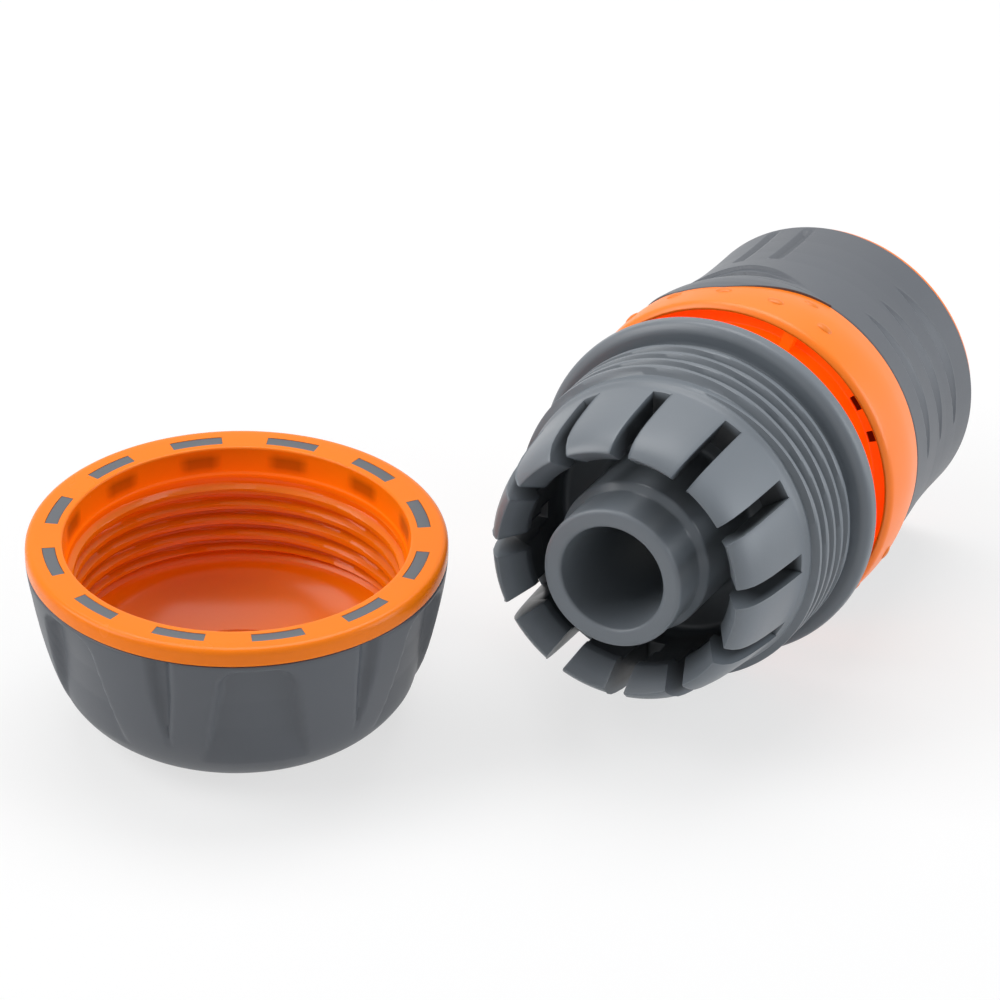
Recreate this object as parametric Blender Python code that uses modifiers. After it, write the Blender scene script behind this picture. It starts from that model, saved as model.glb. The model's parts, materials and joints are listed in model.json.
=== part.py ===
"""Garden hose quick connector, taken apart: the clamping nut stands open side up, the body lies beside it.

Sizes are in millimetres and become metres when a mesh is made. The body is drawn about its own axis:
stations run from the mouth of the hose tail (0) to the coupling end, and angles are clock angles in
degrees, clockwise from the top as seen from the hose end.
"""
import math

import bmesh
import bpy
from mathutils import Matrix, Vector

MM = 0.001

# Clearance between pieces that touch, and the small chamfer on moulded edges
GAP = 0.3
EDGE = 0.3

# How far a cutter reaches past the surface it opens, and how far two joined shapes run into each other
OVERCUT = 1.0
OVERLAP = 0.5

# Hose tail; it steps down in radius from the barb to the mouth and from the mouth to the water way
BARB_R = 7.3
BARB_START = 4.4
BARB_STEP = 0.7
TAIL_WALL = 1.65
FLOW_STEP = 0.65
FLOW_START = 4.5
TAIL_ROUND = 0.5

# Clamping fingers round the tail
FINGER_COUNT = 12
FINGER_PHASE = -1.8
FINGER_SLOT = 1.8
FINGER_START = 1.1
FINGER_ROOT = 10.5
FINGER_WALL = 2.9
FINGER_TAPER = 2.05
FINGER_BEVEL = 2.5
TOOTH = 1.0
TOOTH_LENGTH = 1.0
HOSE_SPACE = 3.7
POCKET_DEPTH = 14.0

# Male thread, left plain at its mean radius
THREAD_SETBACK = 1.1
THREAD_STEP = 0.3
THREAD_LENGTH = 8.0
THREAD_HEIGHT = 0.8

# Stop flange between the thread and the coupling, hollowed from behind
FLANGE_SETBACK = 0.6
FLANGE_THICK = 2.0
FLANGE_LIP = 1.4
FLANGE_ROUND = 0.35
FLANGE_CHAMFER = 0.8
CORING_DEPTH = 6.5
CORING_WALL = 1.6

# Plug that joins the hose half to the socket half
PLUG_CLEARANCE = 0.25
PLUG_LENGTH = 8.8
PLUG_GROOVE = 1.6
PLUG_GROOVE_DEPTH = 0.9
PLUG_GROOVE_BACK = 2.0
PLUG_WALL = 1.0
SEAL_WIRE = 0.42

# Socket for the 16 mm coupling nipple
SOCKET_R = 8.15
SOCKET_WALL = 1.55
SOCKET_EASE = 0.8
RIB_WIDTH = 1.4
RIB_HEIGHT = 0.9
LIP_WIDTH = 1.7
LIP_HEIGHT = 2.2
LIP_SETBACK = 2.9
SEAT_SETBACK = 3.1
SEAT_WIDTH = 1.6

# Return spring
SPRING_WIRE = 0.4
SPRING_TURNS = 5.5
SPRING_ROOM = 1.9
SPRING_SPACE = 10.8
SPRING_CLEARANCE = 0.15
SPRING_STEPS = 12

# Release sleeve
SLEEVE_TRAVEL = 3.6
SLEEVE_STOP = 0.5
SLEEVE_WALL = 1.2
SLEEVE_OVERHANG = 0.3
SLEEVE_RIM = 0.8
SLEEVE_SLIP = 0.35
REAR_WALL = 1.4
REAR_STEP = 0.9
REAR_TUBE_LENGTH = 5.3
LAND_LENGTH = 3.7
CONE_SLOPE = 0.2
BELL_WALL = 1.35
BELL_CHANNEL_WIDTH = 1.85
BELL_CHANNEL_DEPTH = 2.2
BELL_LENGTH = 9.7
BELL_DRAFT = 0.9
BELL_ROUND = 2.0
BELL_RIB_WIDTH = 1.1
BELL_RIB_SETBACK = 0.9
BELL_RIB_ANGLE = 18.7
BELL_SLOT_ANGLE = 61.3
BELL_SLOT_SPREAD = 7.4
BELL_SLOT_WIDTH = 0.9
BELL_SLOT_DEPTH = 3.0
PIP_LENGTH = 2.2
PIP_WIDTH = 1.5
PIP_HEIGHT = 0.3
PIP_SINK = 0.25
PIP_PITCH = 19.2
PIP_SETBACK = 3.9
PIP_ROW = 2.3
PIP_ROW_DROP = 0.3

# Places of the pips on one side: row, and steps of PIP_PITCH from the middle of the scoop
PIPS = ((0, -2.5), (0, -1.5), (0, -0.5), (0, 0.5), (0, 1.5), (0, 2.5), (1, -2.0), (1, 2.0))

# Soft grip on the sleeve
GRIP_END_RISE = 0.15
GRIP_FALL = 1.6
SCOOP_ANGLE = -22.5
SCOOP_HALF = 8.6
SCOOP_LENGTH = 6.2
SCOOP_FLOOR = 0.4
SCOOP_ARCH = 1.4
GROOVE_SPREAD = 8.0
GROOVE_WIDTH = 1.1
GROOVE_DEPTH = 0.4
CRESCENT_COUNT = 3
CRESCENT_PITCH = 3.45
CRESCENT_SETBACK = 2.3
CRESCENT_DEPTH = 0.4
CRESCENT_WIRE = 0.9
CRESCENT_HALF_ANGLE = 36.0
CRESCENT_BOW = 12.0

# Locking claws
CLAW_COUNT = 4
CLAW_ANGLE = 22.5
CLAW_HALF_ANGLE = 15.0
CLAW_CLEARANCE_ANGLE = 2.0
CLAW_BITE = 0.7
CLAW_NOSE = 1.2
CLAW_BEVEL = 0.4
CLAW_SETBACK = 0.7
CLAW_LENGTH = 3.2

# Clamping nut; its outside leans in steadily, then turns under late
NUT_HEIGHT = 18.0
NUT_BAND = 1.75
NUT_WALL = 1.0
NUT_RIM_WIDTH = 1.55
NUT_THREAD_DEPTH = 3.1
NUT_THREAD_LENGTH = 7.4
NUT_THREAD_CLEARANCE = 0.15
NUT_THREAD_RUNOUT = 0.5
NUT_MOUTH_EASE = 0.45
NUT_LEAN = 3.8
NUT_LEAN_POWER = 1.3
NUT_TURN_POWER = 8.0
NUT_CORE_CURVE = 5.0
NUT_BOWL_CURVE = 2.2
HOSE_PASSAGE = 1.95
HOSE_HOLE_DEPTH = 2.4
NOSE_WALL = 1.35
NOSE_HEIGHT = 1.2
NUT_FOOT = 0.3
NUT_FOOT_LIP = 0.2
NUT_SKIN = 0.05
NUT_RIM_ROUND = 0.55
KEY_COUNT = 12
KEY_WIDTH = 1.0
KEY_ARC = 12.5
KEY_HOLE_ARC = 14.5
KEY_PHASE = 9.0
KEY_ROOT = 0.8
PANEL_COUNT = 6
PANEL_PHASE = 2.0
PANEL_DEPTH = 0.85
PANEL_TOP_GAP = 0.35
PANEL_FOOT = 4.6
PANEL_TOP_HALF = 2.5
PANEL_LOW_HALF = 4.5
PANEL_BEVEL = 1.4
PANEL_SHOULDER = 0.95
DART_DEPTH = 0.9
DART_FOOT = 5.4
DART_HALF = 1.35
DART_FLOOR = 0.25

# Where the nut stands beside the body
NUT_SPACE = 1.1
NUT_FORWARD = 6.35

# Facets round each turned piece
ROUND_STEPS = 36
INNER_STEPS = 24
CLAW_STEPS = 6
KEY_HOLE_STEPS = 3
KEY_STEPS = 2

# Radii of the body, from the hose tail outwards
TAIL_R = BARB_R - BARB_STEP
TAIL_MOUTH_R = TAIL_R - TAIL_WALL
FLOW_R = TAIL_MOUTH_R - FLOW_STEP
POCKET_R = BARB_R + HOSE_SPACE
FINGER_R = POCKET_R + FINGER_WALL
THREAD_R = FINGER_R + THREAD_HEIGHT / 2 + THREAD_STEP
THREAD_CREST_R = THREAD_R + THREAD_HEIGHT / 2
NECK_R = THREAD_R - THREAD_HEIGHT / 2
FLANGE_R = THREAD_CREST_R + FLANGE_LIP

# Stations of the body, from the fingers to the coupling end
THREAD_START = FINGER_ROOT + THREAD_SETBACK
THREAD_END = THREAD_START + THREAD_LENGTH
FLANGE_FACE = THREAD_END + FLANGE_SETBACK
FLANGE_BACK = FLANGE_FACE + FLANGE_THICK
PLUG_END = FLANGE_BACK + PLUG_LENGTH
CORE_FRONT = FLANGE_BACK + GAP
SEAT_START = CORE_FRONT + SEAT_SETBACK
SEAT_END = SEAT_START + SEAT_WIDTH
LAND_START = SEAT_END + SPRING_SPACE
LAND_END = LAND_START + LAND_LENGTH
RIB_START = LAND_END + GAP
CLAW_START = RIB_START + RIB_WIDTH + CLAW_SETBACK
CLAW_END = CLAW_START + CLAW_LENGTH
SOCKET_END = CLAW_END + LIP_SETBACK

# Radii of the socket and the sleeve, from the bore outwards
PLUG_R = SOCKET_R - PLUG_CLEARANCE
GROOVE_FLOOR_R = PLUG_R - PLUG_GROOVE_DEPTH
CLAW_NOSE_R = SOCKET_R - CLAW_BITE
CORE_R = SOCKET_R + SOCKET_WALL
RIB_R = CORE_R + RIB_HEIGHT
LIP_R = CORE_R + LIP_HEIGHT
ROOM_R = CORE_R + SPRING_ROOM
SEAT_R = ROOM_R - GAP
LAND_R = CORE_R + SLEEVE_SLIP
CONE_R = RIB_R + SLEEVE_SLIP
TUBE_R = ROOM_R + SLEEVE_WALL
BELL_INNER_R = TUBE_R + BELL_CHANNEL_WIDTH
BELL_R = BELL_INNER_R + BELL_WALL
BELL_END_R = BELL_R - BELL_DRAFT
SLEEVE_REAR_R = TUBE_R + REAR_WALL
REAR_TUBE_R = SLEEVE_REAR_R - REAR_STEP
GRIP_R = TUBE_R + GAP
GRIP_REAR_R = REAR_TUBE_R + GAP
GRIP_FRONT_R = BELL_END_R - GAP / 3
GRIP_BACK_R = SLEEVE_REAR_R + GRIP_END_RISE

# Stations of the sleeve
SLEEVE_FRONT = FLANGE_BACK + SLEEVE_TRAVEL + SLEEVE_STOP
BELL_TIP = SLEEVE_FRONT - GAP / 3
BELL_CHANNEL = SLEEVE_FRONT + BELL_CHANNEL_DEPTH
BELL_END = SLEEVE_FRONT + BELL_LENGTH
PIP_STATION = SLEEVE_FRONT + PIP_SETBACK
SLEEVE_END = SOCKET_END + SLEEVE_OVERHANG
RIM_START = SLEEVE_END - SLEEVE_RIM
REAR_TUBE_START = RIM_START - REAR_TUBE_LENGTH
GRIP_START = BELL_END + GAP
GRIP_END = RIM_START - GAP
CRESCENT_FIRST = GRIP_START + CRESCENT_SETBACK

# Radii and heights of the nut
NUT_THREAD_R = THREAD_CREST_R + NUT_THREAD_CLEARANCE
NUT_MOUTH_R = NUT_THREAD_R + NUT_MOUTH_EASE
NUT_CORE_R = NUT_THREAD_R + NUT_WALL
KEY_R = NUT_CORE_R + GAP
NUT_R = KEY_R + KEY_WIDTH + NUT_RIM_WIDTH
HOSE_HOLE_R = BARB_R + HOSE_PASSAGE
NOSE_R = HOSE_HOLE_R + NOSE_WALL
NUT_BASE_R = NOSE_R + GAP + NUT_FOOT_LIP
BAND_FACE = NUT_HEIGHT - NUT_BAND
NUT_GRIP_TOP = BAND_FACE - GAP
BOWL_TOP = NUT_HEIGHT - NUT_THREAD_DEPTH - NUT_THREAD_LENGTH
NUT_ASIDE = NUT_R + FINGER_R + NUT_SPACE

# The body lies on the bell's lowest pip and on the rear rim, so its axis slopes down towards the coupling end
PIP_OFF_BOTTOM = 7.5
PIP_REACH = (BELL_R + PIP_HEIGHT) * math.cos(math.radians(PIP_OFF_BOTTOM))
TILT = math.atan((PIP_REACH - SLEEVE_REAR_R) / (SLEEVE_END - EDGE - PIP_STATION))
AXIS_HEIGHT = SLEEVE_REAR_R * math.cos(TILT) + (SLEEVE_END - EDGE) * math.sin(TILT)
BODY_BACK = SLEEVE_END * math.cos(TILT) + (SLEEVE_REAR_R - EDGE) * math.sin(TILT)
BODY_X = (NUT_ASIDE + NUT_R - FLANGE_R) / 2
BODY_Y = (NUT_FORWARD + NUT_R - BODY_BACK) / 2


def clear_scene():
    for item in list(bpy.data.objects):
        bpy.data.objects.remove(item, do_unlink=True)


def new_collection(name):
    found = bpy.data.collections.new(name)
    bpy.context.scene.collection.children.link(found)
    return found


def new_material(name, colour, roughness, metallic=0.0):
    made = bpy.data.materials.new(name)
    made.use_nodes = True
    shader = made.node_tree.nodes["Principled BSDF"]
    shader.inputs["Base Color"].default_value = (*colour, 1.0)
    shader.inputs["Roughness"].default_value = roughness
    shader.inputs["Metallic"].default_value = metallic
    return made


def new_empty(name, location, parent=None):
    made = bpy.data.objects.new(name, None)
    made.empty_display_size = 5 * MM
    made.location = Vector(location) * MM
    made.parent = parent
    parts.objects.link(made)
    return made


def new_object(name, mesh, parent, material=None):
    """A part when it has a material, a hidden cutter when it has none."""
    made = bpy.data.objects.new(name, mesh)
    made.parent = parent
    if material is None:
        cutters.objects.link(made)
        made.hide_render = True
        made.display_type = "WIRE"
    else:
        parts.objects.link(made)
        mesh.materials.append(material)
    return made


def finish_mesh(name, bm):
    mesh = bpy.data.meshes.new(name)
    bmesh.ops.scale(bm, vec=(MM, MM, MM), verts=bm.verts)
    bm.to_mesh(mesh)
    bm.free()
    return mesh


def turned(name, profile, parent, material=None, steps=ROUND_STEPS):
    """Turns a closed outline of (radius, station) pairs, given down its outer side, about local Z."""
    bm = bmesh.new()
    ring = [bm.verts.new((radius, 0.0, station)) for radius, station in profile]
    for here, there in zip(ring, ring[1:] + ring[:1]):
        bm.edges.new((here, there))
    mesh = finish_mesh(name, bm)
    made = new_object(name, mesh, parent, material)
    screw = made.modifiers.new("turn", "SCREW")
    screw.axis = "Z"
    screw.steps = steps
    screw.render_steps = steps
    screw.use_merge_vertices = True
    screw.merge_threshold = 0.00001
    screw.use_smooth_shade = True
    return made


def boolean(target, operand, operation="DIFFERENCE"):
    made = target.modifiers.new(operand.name, "BOOLEAN")
    made.operation = operation
    made.solver = "EXACT"
    made.object = operand


def spun(bm, profile, start, end, steps):
    """Adds the solid that a closed outline sweeps from one clock angle to another."""
    first = [bm.verts.new((radius, 0.0, station)) for radius, station in profile]
    face = bm.faces.new(first)
    bmesh.ops.rotate(bm, verts=first, matrix=Matrix.Rotation(math.radians(start), 3, "Z"))
    before = set(bm.faces)
    bmesh.ops.spin(bm, geom=[face, *face.edges, *first], axis=(0, 0, 1), cent=(0, 0, 0),
                   angle=math.radians(end - start), steps=steps, use_merge=False)
    bmesh.ops.recalc_face_normals(bm, faces=[f for f in bm.faces if f not in before or f is face])


def block(bm, low, high, angle=0.0):
    """Adds a box between two corners (radius, across, station), turned to a clock angle."""
    size = [b - a for a, b in zip(low, high)]
    middle = [(a + b) / 2 for a, b in zip(low, high)]
    place = Matrix.Rotation(math.radians(angle), 4, "Z") @ Matrix.Translation(middle)
    bmesh.ops.create_cube(bm, size=1.0, matrix=place @ Matrix.Diagonal((*size, 1.0)))


def prism(bm, outline, near, far, angle):
    """Adds an outline of (across, station) pairs, extruded outwards along a clock angle."""
    face = bm.faces.new([bm.verts.new((near, across, station)) for across, station in outline])
    grown = bmesh.ops.extrude_face_region(bm, geom=[face], use_keep_orig=True)
    moved = [v for v in grown["geom"] if isinstance(v, bmesh.types.BMVert)]
    bmesh.ops.translate(bm, vec=(far - near, 0, 0), verts=moved)
    whole = set(moved) | set(face.verts)
    bmesh.ops.rotate(bm, verts=list(whole), matrix=Matrix.Rotation(math.radians(angle), 3, "Z"))
    bmesh.ops.recalc_face_normals(bm, faces=[f for f in bm.faces if set(f.verts) <= whole])


def finger_outside():
    """The outer side of a finger, from its root to its tip: nearly straight, then drawn in."""
    found = []
    count = 4
    for k in range(count + 1):
        part = k / count
        station = FINGER_ROOT - (FINGER_ROOT - FINGER_START) * math.sin(math.pi / 2 * part)
        depth = (FINGER_ROOT - station) / (FINGER_ROOT - FINGER_START)
        found.append((FINGER_R - FINGER_TAPER * (0.28 * depth + 0.72 * depth ** 6), station))
    return found


def make_connector_body(parent):
    tooth_r = POCKET_R - TOOTH
    step_r = POCKET_R - 0.4 * TOOTH
    tooth_end = FINGER_START + FINGER_BEVEL + TOOTH_LENGTH
    groove_end = PLUG_END - PLUG_GROOVE_BACK
    outside = [
        (FLOW_R + PLUG_WALL, PLUG_END), (PLUG_R - EDGE, PLUG_END), (PLUG_R, PLUG_END - EDGE),
        (PLUG_R, groove_end), (GROOVE_FLOOR_R, groove_end), (GROOVE_FLOOR_R, groove_end - PLUG_GROOVE),
        (PLUG_R, groove_end - PLUG_GROOVE), (PLUG_R, FLANGE_BACK), (CORE_R, FLANGE_BACK),
        (CORE_R, FLANGE_BACK - CORING_DEPTH), (NECK_R - CORING_WALL, FLANGE_BACK - CORING_DEPTH),
        (NECK_R - CORING_WALL, FLANGE_BACK), (FLANGE_R - FLANGE_ROUND, FLANGE_BACK),
        (FLANGE_R, FLANGE_BACK - FLANGE_ROUND), (FLANGE_R, FLANGE_FACE + FLANGE_CHAMFER),
        (FLANGE_R - 0.3 * FLANGE_CHAMFER, FLANGE_FACE + 0.3 * FLANGE_CHAMFER),
        (FLANGE_R - FLANGE_CHAMFER, FLANGE_FACE), (NECK_R, FLANGE_FACE), (NECK_R, THREAD_END),
        (THREAD_R, THREAD_END - EDGE), (THREAD_R, THREAD_START + THREAD_SETBACK),
        (FINGER_R + EDGE, THREAD_START), (FINGER_R, THREAD_START - EDGE),
    ]
    inside = [
        (FINGER_R - FINGER_TAPER - EDGE, FINGER_START), (tooth_r, FINGER_START + FINGER_BEVEL),
        (tooth_r, tooth_end), (step_r, tooth_end + EDGE), (step_r, FINGER_ROOT - 2 * TOOTH - TAIL_ROUND),
        (POCKET_R, FINGER_ROOT - 2 * TOOTH), (POCKET_R, POCKET_DEPTH),
        (BARB_R, POCKET_DEPTH), (BARB_R, BARB_START + BARB_STEP), (TAIL_R, BARB_START),
        (TAIL_R, TAIL_ROUND), (TAIL_R - 0.3 * TAIL_ROUND, 0.3 * TAIL_ROUND), (TAIL_R - TAIL_ROUND, 0.0),
        (TAIL_MOUTH_R + TAIL_ROUND, 0.0), (TAIL_MOUTH_R, TAIL_ROUND), (TAIL_MOUTH_R, FLOW_START),
        (FLOW_R, FLOW_START + FLOW_STEP), (FLOW_R, PLUG_END - PLUG_WALL),
    ]
    body = turned("connector_body", outside + finger_outside() + inside, parent, grey_hard)
    bm = bmesh.new()
    for k in range(FINGER_COUNT):
        block(bm, (BARB_R + OVERCUT, -FINGER_SLOT / 2, FINGER_START - OVERCUT),
              (FLANGE_R, FINGER_SLOT / 2, FINGER_ROOT), FINGER_PHASE + 360.0 * k / FINGER_COUNT)
    slots = new_object("finger_slots", finish_mesh("finger_slots", bm), parent)
    boolean(body, slots)
    return body


def make_socket_core(parent):
    profile = [
        (SOCKET_R + SOCKET_EASE, SOCKET_END), (LIP_R - EDGE, SOCKET_END), (LIP_R, SOCKET_END - EDGE),
        (LIP_R, SOCKET_END - LIP_WIDTH + EDGE), (LIP_R - EDGE, SOCKET_END - LIP_WIDTH),
        (CORE_R, SOCKET_END - LIP_WIDTH), (CORE_R, RIB_START + RIB_WIDTH),
        (RIB_R, RIB_START + RIB_WIDTH), (RIB_R, RIB_START), (CORE_R, RIB_START),
        (CORE_R, SEAT_END), (SEAT_R, SEAT_END), (SEAT_R, SEAT_START), (CORE_R, SEAT_START),
        (CORE_R, CORE_FRONT), (SOCKET_R + EDGE, CORE_FRONT), (SOCKET_R, CORE_FRONT + EDGE),
        (SOCKET_R, SOCKET_END - SOCKET_EASE),
    ]
    core = turned("socket_core", profile, parent, grey_hard, INNER_STEPS)
    bm = bmesh.new()
    opening = [(SOCKET_R - OVERCUT, CLAW_START - GAP), (SOCKET_R - OVERCUT, CLAW_END + GAP),
               (CORE_R + OVERLAP, CLAW_END + GAP), (CORE_R + OVERLAP, CLAW_START - GAP)]
    half = CLAW_HALF_ANGLE + CLAW_CLEARANCE_ANGLE
    for k in range(CLAW_COUNT):
        middle = CLAW_ANGLE + 360.0 * k / CLAW_COUNT
        spun(bm, opening, middle - half, middle + half, CLAW_STEPS)
    windows = new_object("claw_windows", finish_mesh("claw_windows", bm), parent)
    boolean(core, windows)
    return core


def cone_radius(station):
    """Inner radius of the sleeve's release cone."""
    return CONE_R + CONE_SLOPE * (station - LAND_END)


def make_claws(parent):
    rear = CLAW_END - CLAW_BEVEL
    for k in range(CLAW_COUNT):
        middle = CLAW_ANGLE + 360.0 * k / CLAW_COUNT
        name = f"locking_claw_{k + 1}"
        profile = [
            (cone_radius(rear) - GAP, rear), (cone_radius(CLAW_START) - GAP, CLAW_START),
            (CLAW_NOSE_R + CLAW_NOSE, CLAW_START), (CLAW_NOSE_R, CLAW_START + CLAW_BEVEL),
            (CLAW_NOSE_R, CLAW_END - CLAW_LENGTH / 2), (CLAW_NOSE_R + CLAW_NOSE, CLAW_END),
            (cone_radius(rear) - GAP - CLAW_BEVEL, CLAW_END),
        ]
        bm = bmesh.new()
        spun(bm, profile, middle - CLAW_HALF_ANGLE, middle + CLAW_HALF_ANGLE, CLAW_STEPS)
        guide = new_empty(f"claw_{k + 1}_slide", (0, 0, CLAW_START), parent)
        claw = new_object(name, finish_mesh(name, bm), guide, white_hard)
        claw.location = (0, 0, -CLAW_START * MM)


def make_release_collar(parent):
    lip = BELL_WALL / 3
    profile = [
        (cone_radius(SLEEVE_END), SLEEVE_END), (SLEEVE_REAR_R - EDGE, SLEEVE_END),
        (SLEEVE_REAR_R, SLEEVE_END - EDGE), (SLEEVE_REAR_R, RIM_START), (REAR_TUBE_R, RIM_START),
        (REAR_TUBE_R, REAR_TUBE_START), (TUBE_R, REAR_TUBE_START), (TUBE_R, BELL_END),
        (BELL_END_R - EDGE, BELL_END), (BELL_END_R, BELL_END - EDGE),
        (BELL_R - 0.4 * BELL_DRAFT, BELL_END - BELL_LENGTH / 3),
        (BELL_R - 0.1 * BELL_DRAFT, PIP_STATION + EDGE),
        (BELL_R, BELL_TIP + 1.3 * BELL_ROUND), (BELL_R - 0.1 * lip, BELL_TIP + 0.6 * BELL_ROUND),
        (BELL_R - 0.45 * lip, BELL_TIP + 0.25 * BELL_ROUND), (BELL_R - 1.1 * lip, BELL_TIP),
        (BELL_INNER_R + lip, BELL_TIP), (BELL_INNER_R + 0.4 * lip, BELL_TIP + 0.2 * BELL_ROUND),
        (BELL_INNER_R, BELL_TIP + 0.6 * BELL_ROUND), (BELL_INNER_R, BELL_CHANNEL), (TUBE_R, BELL_CHANNEL),
        (TUBE_R, SLEEVE_FRONT + EDGE), (TUBE_R - EDGE, SLEEVE_FRONT), (ROOM_R + EDGE, SLEEVE_FRONT),
        (ROOM_R, SLEEVE_FRONT + EDGE), (ROOM_R, LAND_START), (LAND_R, LAND_START), (LAND_R, LAND_END),
        (CONE_R, LAND_END),
    ]
    collar = turned("release_collar", profile, parent, orange)
    bm = bmesh.new()
    for k in range(4):
        block(bm, (TUBE_R - OVERLAP, -BELL_RIB_WIDTH / 2, SLEEVE_FRONT + BELL_RIB_SETBACK),
              (BELL_INNER_R + OVERLAP, BELL_RIB_WIDTH / 2, BELL_CHANNEL + OVERLAP), BELL_RIB_ANGLE + 90.0 * k)
    for side in (0.0, 180.0):
        for row, across in PIPS:
            pip(bm, SCOOP_ANGLE + side + across * PIP_PITCH, row)
    ribs = new_object("bell_ribs_and_pips", finish_mesh("bell_ribs_and_pips", bm), parent)
    boolean(collar, ribs, "UNION")
    bm = bmesh.new()
    skin = BELL_CHANNEL_WIDTH / 8
    for side in (0.0, 180.0):
        for across in (-BELL_SLOT_SPREAD, BELL_SLOT_SPREAD):
            angle = BELL_SLOT_ANGLE + side + across
            block(bm, (TUBE_R + 2 * skin, -BELL_SLOT_WIDTH / 2, BELL_CHANNEL - OVERCUT),
                  (BELL_INNER_R - skin, BELL_SLOT_WIDTH / 2, BELL_CHANNEL + BELL_SLOT_DEPTH), angle)
            block(bm, (ROOM_R - OVERCUT, -BELL_SLOT_WIDTH / 2, SLEEVE_FRONT - OVERCUT),
                  (TUBE_R + skin, BELL_SLOT_WIDTH / 2, BELL_CHANNEL - OVERLAP), angle)
    slots = new_object("bell_slots", finish_mesh("bell_slots", bm), parent)
    boolean(collar, slots)
    return collar


def pip(bm, angle, row):
    """Adds a low oval pip that stands out of the bell."""
    centre_r = BELL_R - PIP_SINK - PIP_ROW_DROP * row
    place = (Matrix.Rotation(math.radians(angle), 4, "Z")
             @ Matrix.Translation((centre_r, 0, PIP_STATION + PIP_ROW * row))
             @ Matrix.Diagonal((PIP_HEIGHT + PIP_SINK, PIP_LENGTH / 2, PIP_WIDTH / 2, 1.0))
             @ Matrix.Rotation(math.pi / 2, 4, "Y"))
    bmesh.ops.create_uvsphere(bm, u_segments=8, v_segments=4, radius=1.0, matrix=place)


def grip_radius(station):
    """Outer radius of the soft grip, a little hollow along its length."""
    along = (station - GRIP_START) / (GRIP_END - GRIP_START)
    return GRIP_FRONT_R + (GRIP_BACK_R - GRIP_FRONT_R) * (1 - (1 - along) ** GRIP_FALL)


def make_sleeve_grip(parent):
    count = 7
    length = GRIP_END - GRIP_START - 2 * EDGE
    outer = [(grip_radius(s), s) for s in [GRIP_END - EDGE - length * k / count for k in range(count + 1)]]
    profile = [(GRIP_REAR_R, GRIP_END), (grip_radius(GRIP_END) - EDGE, GRIP_END), *outer,
               (GRIP_FRONT_R - EDGE, GRIP_START), (GRIP_R, GRIP_START),
               (GRIP_R, REAR_TUBE_START - GAP), (GRIP_REAR_R, REAR_TUBE_START - GAP)]
    grip = turned("sleeve_grip", profile, parent, grey_soft)
    floor_r = GRIP_R + SCOOP_FLOOR
    far_r = BELL_R + OVERCUT
    scoop_end = GRIP_START + SCOOP_LENGTH + OVERCUT
    layer = [(far_r, scoop_end), (far_r, GRIP_START - OVERCUT),
             (floor_r + 2.2 * SCOOP_FLOOR, GRIP_START - OVERCUT), (floor_r + 1.8 * SCOOP_FLOOR, GRIP_START),
             (floor_r + SCOOP_FLOOR / 2, GRIP_START + SCOOP_LENGTH / 3),
             (floor_r, GRIP_START + 0.65 * SCOOP_LENGTH), (floor_r, scoop_end)]
    scoops = turned("scoop_layer", layer, parent)
    arches = new_object("scoop_arches", arch_mesh(), parent)
    boolean(scoops, arches, "INTERSECT")
    boolean(grip, scoops)
    bm = bmesh.new()
    for side in (0.0, 180.0):
        for across in (-GROOVE_SPREAD, GROOVE_SPREAD):
            block(bm, (GRIP_BACK_R - GROOVE_DEPTH, -GROOVE_WIDTH / 2, GRIP_START + SCOOP_LENGTH + OVERLAP),
                  (far_r, GROOVE_WIDTH / 2, GRIP_END + OVERCUT), SCOOP_ANGLE + side + across)
    grooves = new_object("grip_grooves", finish_mesh("grip_grooves", bm), parent)
    boolean(grip, grooves)
    for side in (0.0, 180.0):
        for k in range(CRESCENT_COUNT):
            boolean(grip, crescent_cutter(side, k, parent))
    return grip


def arch_mesh():
    """Two prisms with the arched outline of the finger scoops."""
    count = 8
    low = GRIP_START - 2 * OVERCUT
    bm = bmesh.new()
    for side in (0.0, 180.0):
        outline = [(SCOOP_HALF, low)]
        for k in range(-count, count + 1):
            rise = SCOOP_LENGTH * (1 - abs(k / count) ** SCOOP_ARCH)
            outline.append((-SCOOP_HALF * k / count, GRIP_START + rise))
        outline.append((-SCOOP_HALF, low))
        prism(bm, outline, SOCKET_R, 1.25 * BELL_R, SCOOP_ANGLE + side)
    return finish_mesh("scoop_arches", bm)


def crescent_cutter(side, k, parent):
    """A ring set off its centre, so that the groove it cuts is deepest in the middle and fades out."""
    station = CRESCENT_FIRST + CRESCENT_PITCH * k
    fade = math.cos(math.radians(CRESCENT_HALF_ANGLE))
    offset = CRESCENT_DEPTH / (1 - fade)
    ring_r = grip_radius(station) + CRESCENT_WIRE + offset * fade
    bm = bmesh.new()
    turn = Matrix.Rotation(math.radians(SCOOP_ANGLE + 90.0 + side), 4, "Z")
    bow = Matrix.Rotation(math.radians(CRESCENT_BOW), 4, "Y")
    rise = ring_r * math.sin(math.radians(CRESCENT_BOW))
    place = turn @ Matrix.Translation((-offset, 0, station + rise)) @ bow
    profile = [(ring_r + CRESCENT_WIRE * math.cos(a), CRESCENT_WIRE * math.sin(a))
               for a in [math.pi / 4 * n for n in range(8)]]
    ring = [bm.verts.new((radius, 0.0, height)) for radius, height in profile]
    edges = [bm.edges.new((a, b)) for a, b in zip(ring, ring[1:] + ring[:1])]
    bmesh.ops.spin(bm, geom=[*ring, *edges], axis=(0, 0, 1), cent=(0, 0, 0), angle=2 * math.pi,
                   steps=ROUND_STEPS, use_merge=True)
    bmesh.ops.recalc_face_normals(bm, faces=bm.faces)
    bmesh.ops.transform(bm, matrix=place, verts=bm.verts)
    name = f"crescent_{int(side)}_{k + 1}"
    return new_object(name, finish_mesh(name, bm), parent)


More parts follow.
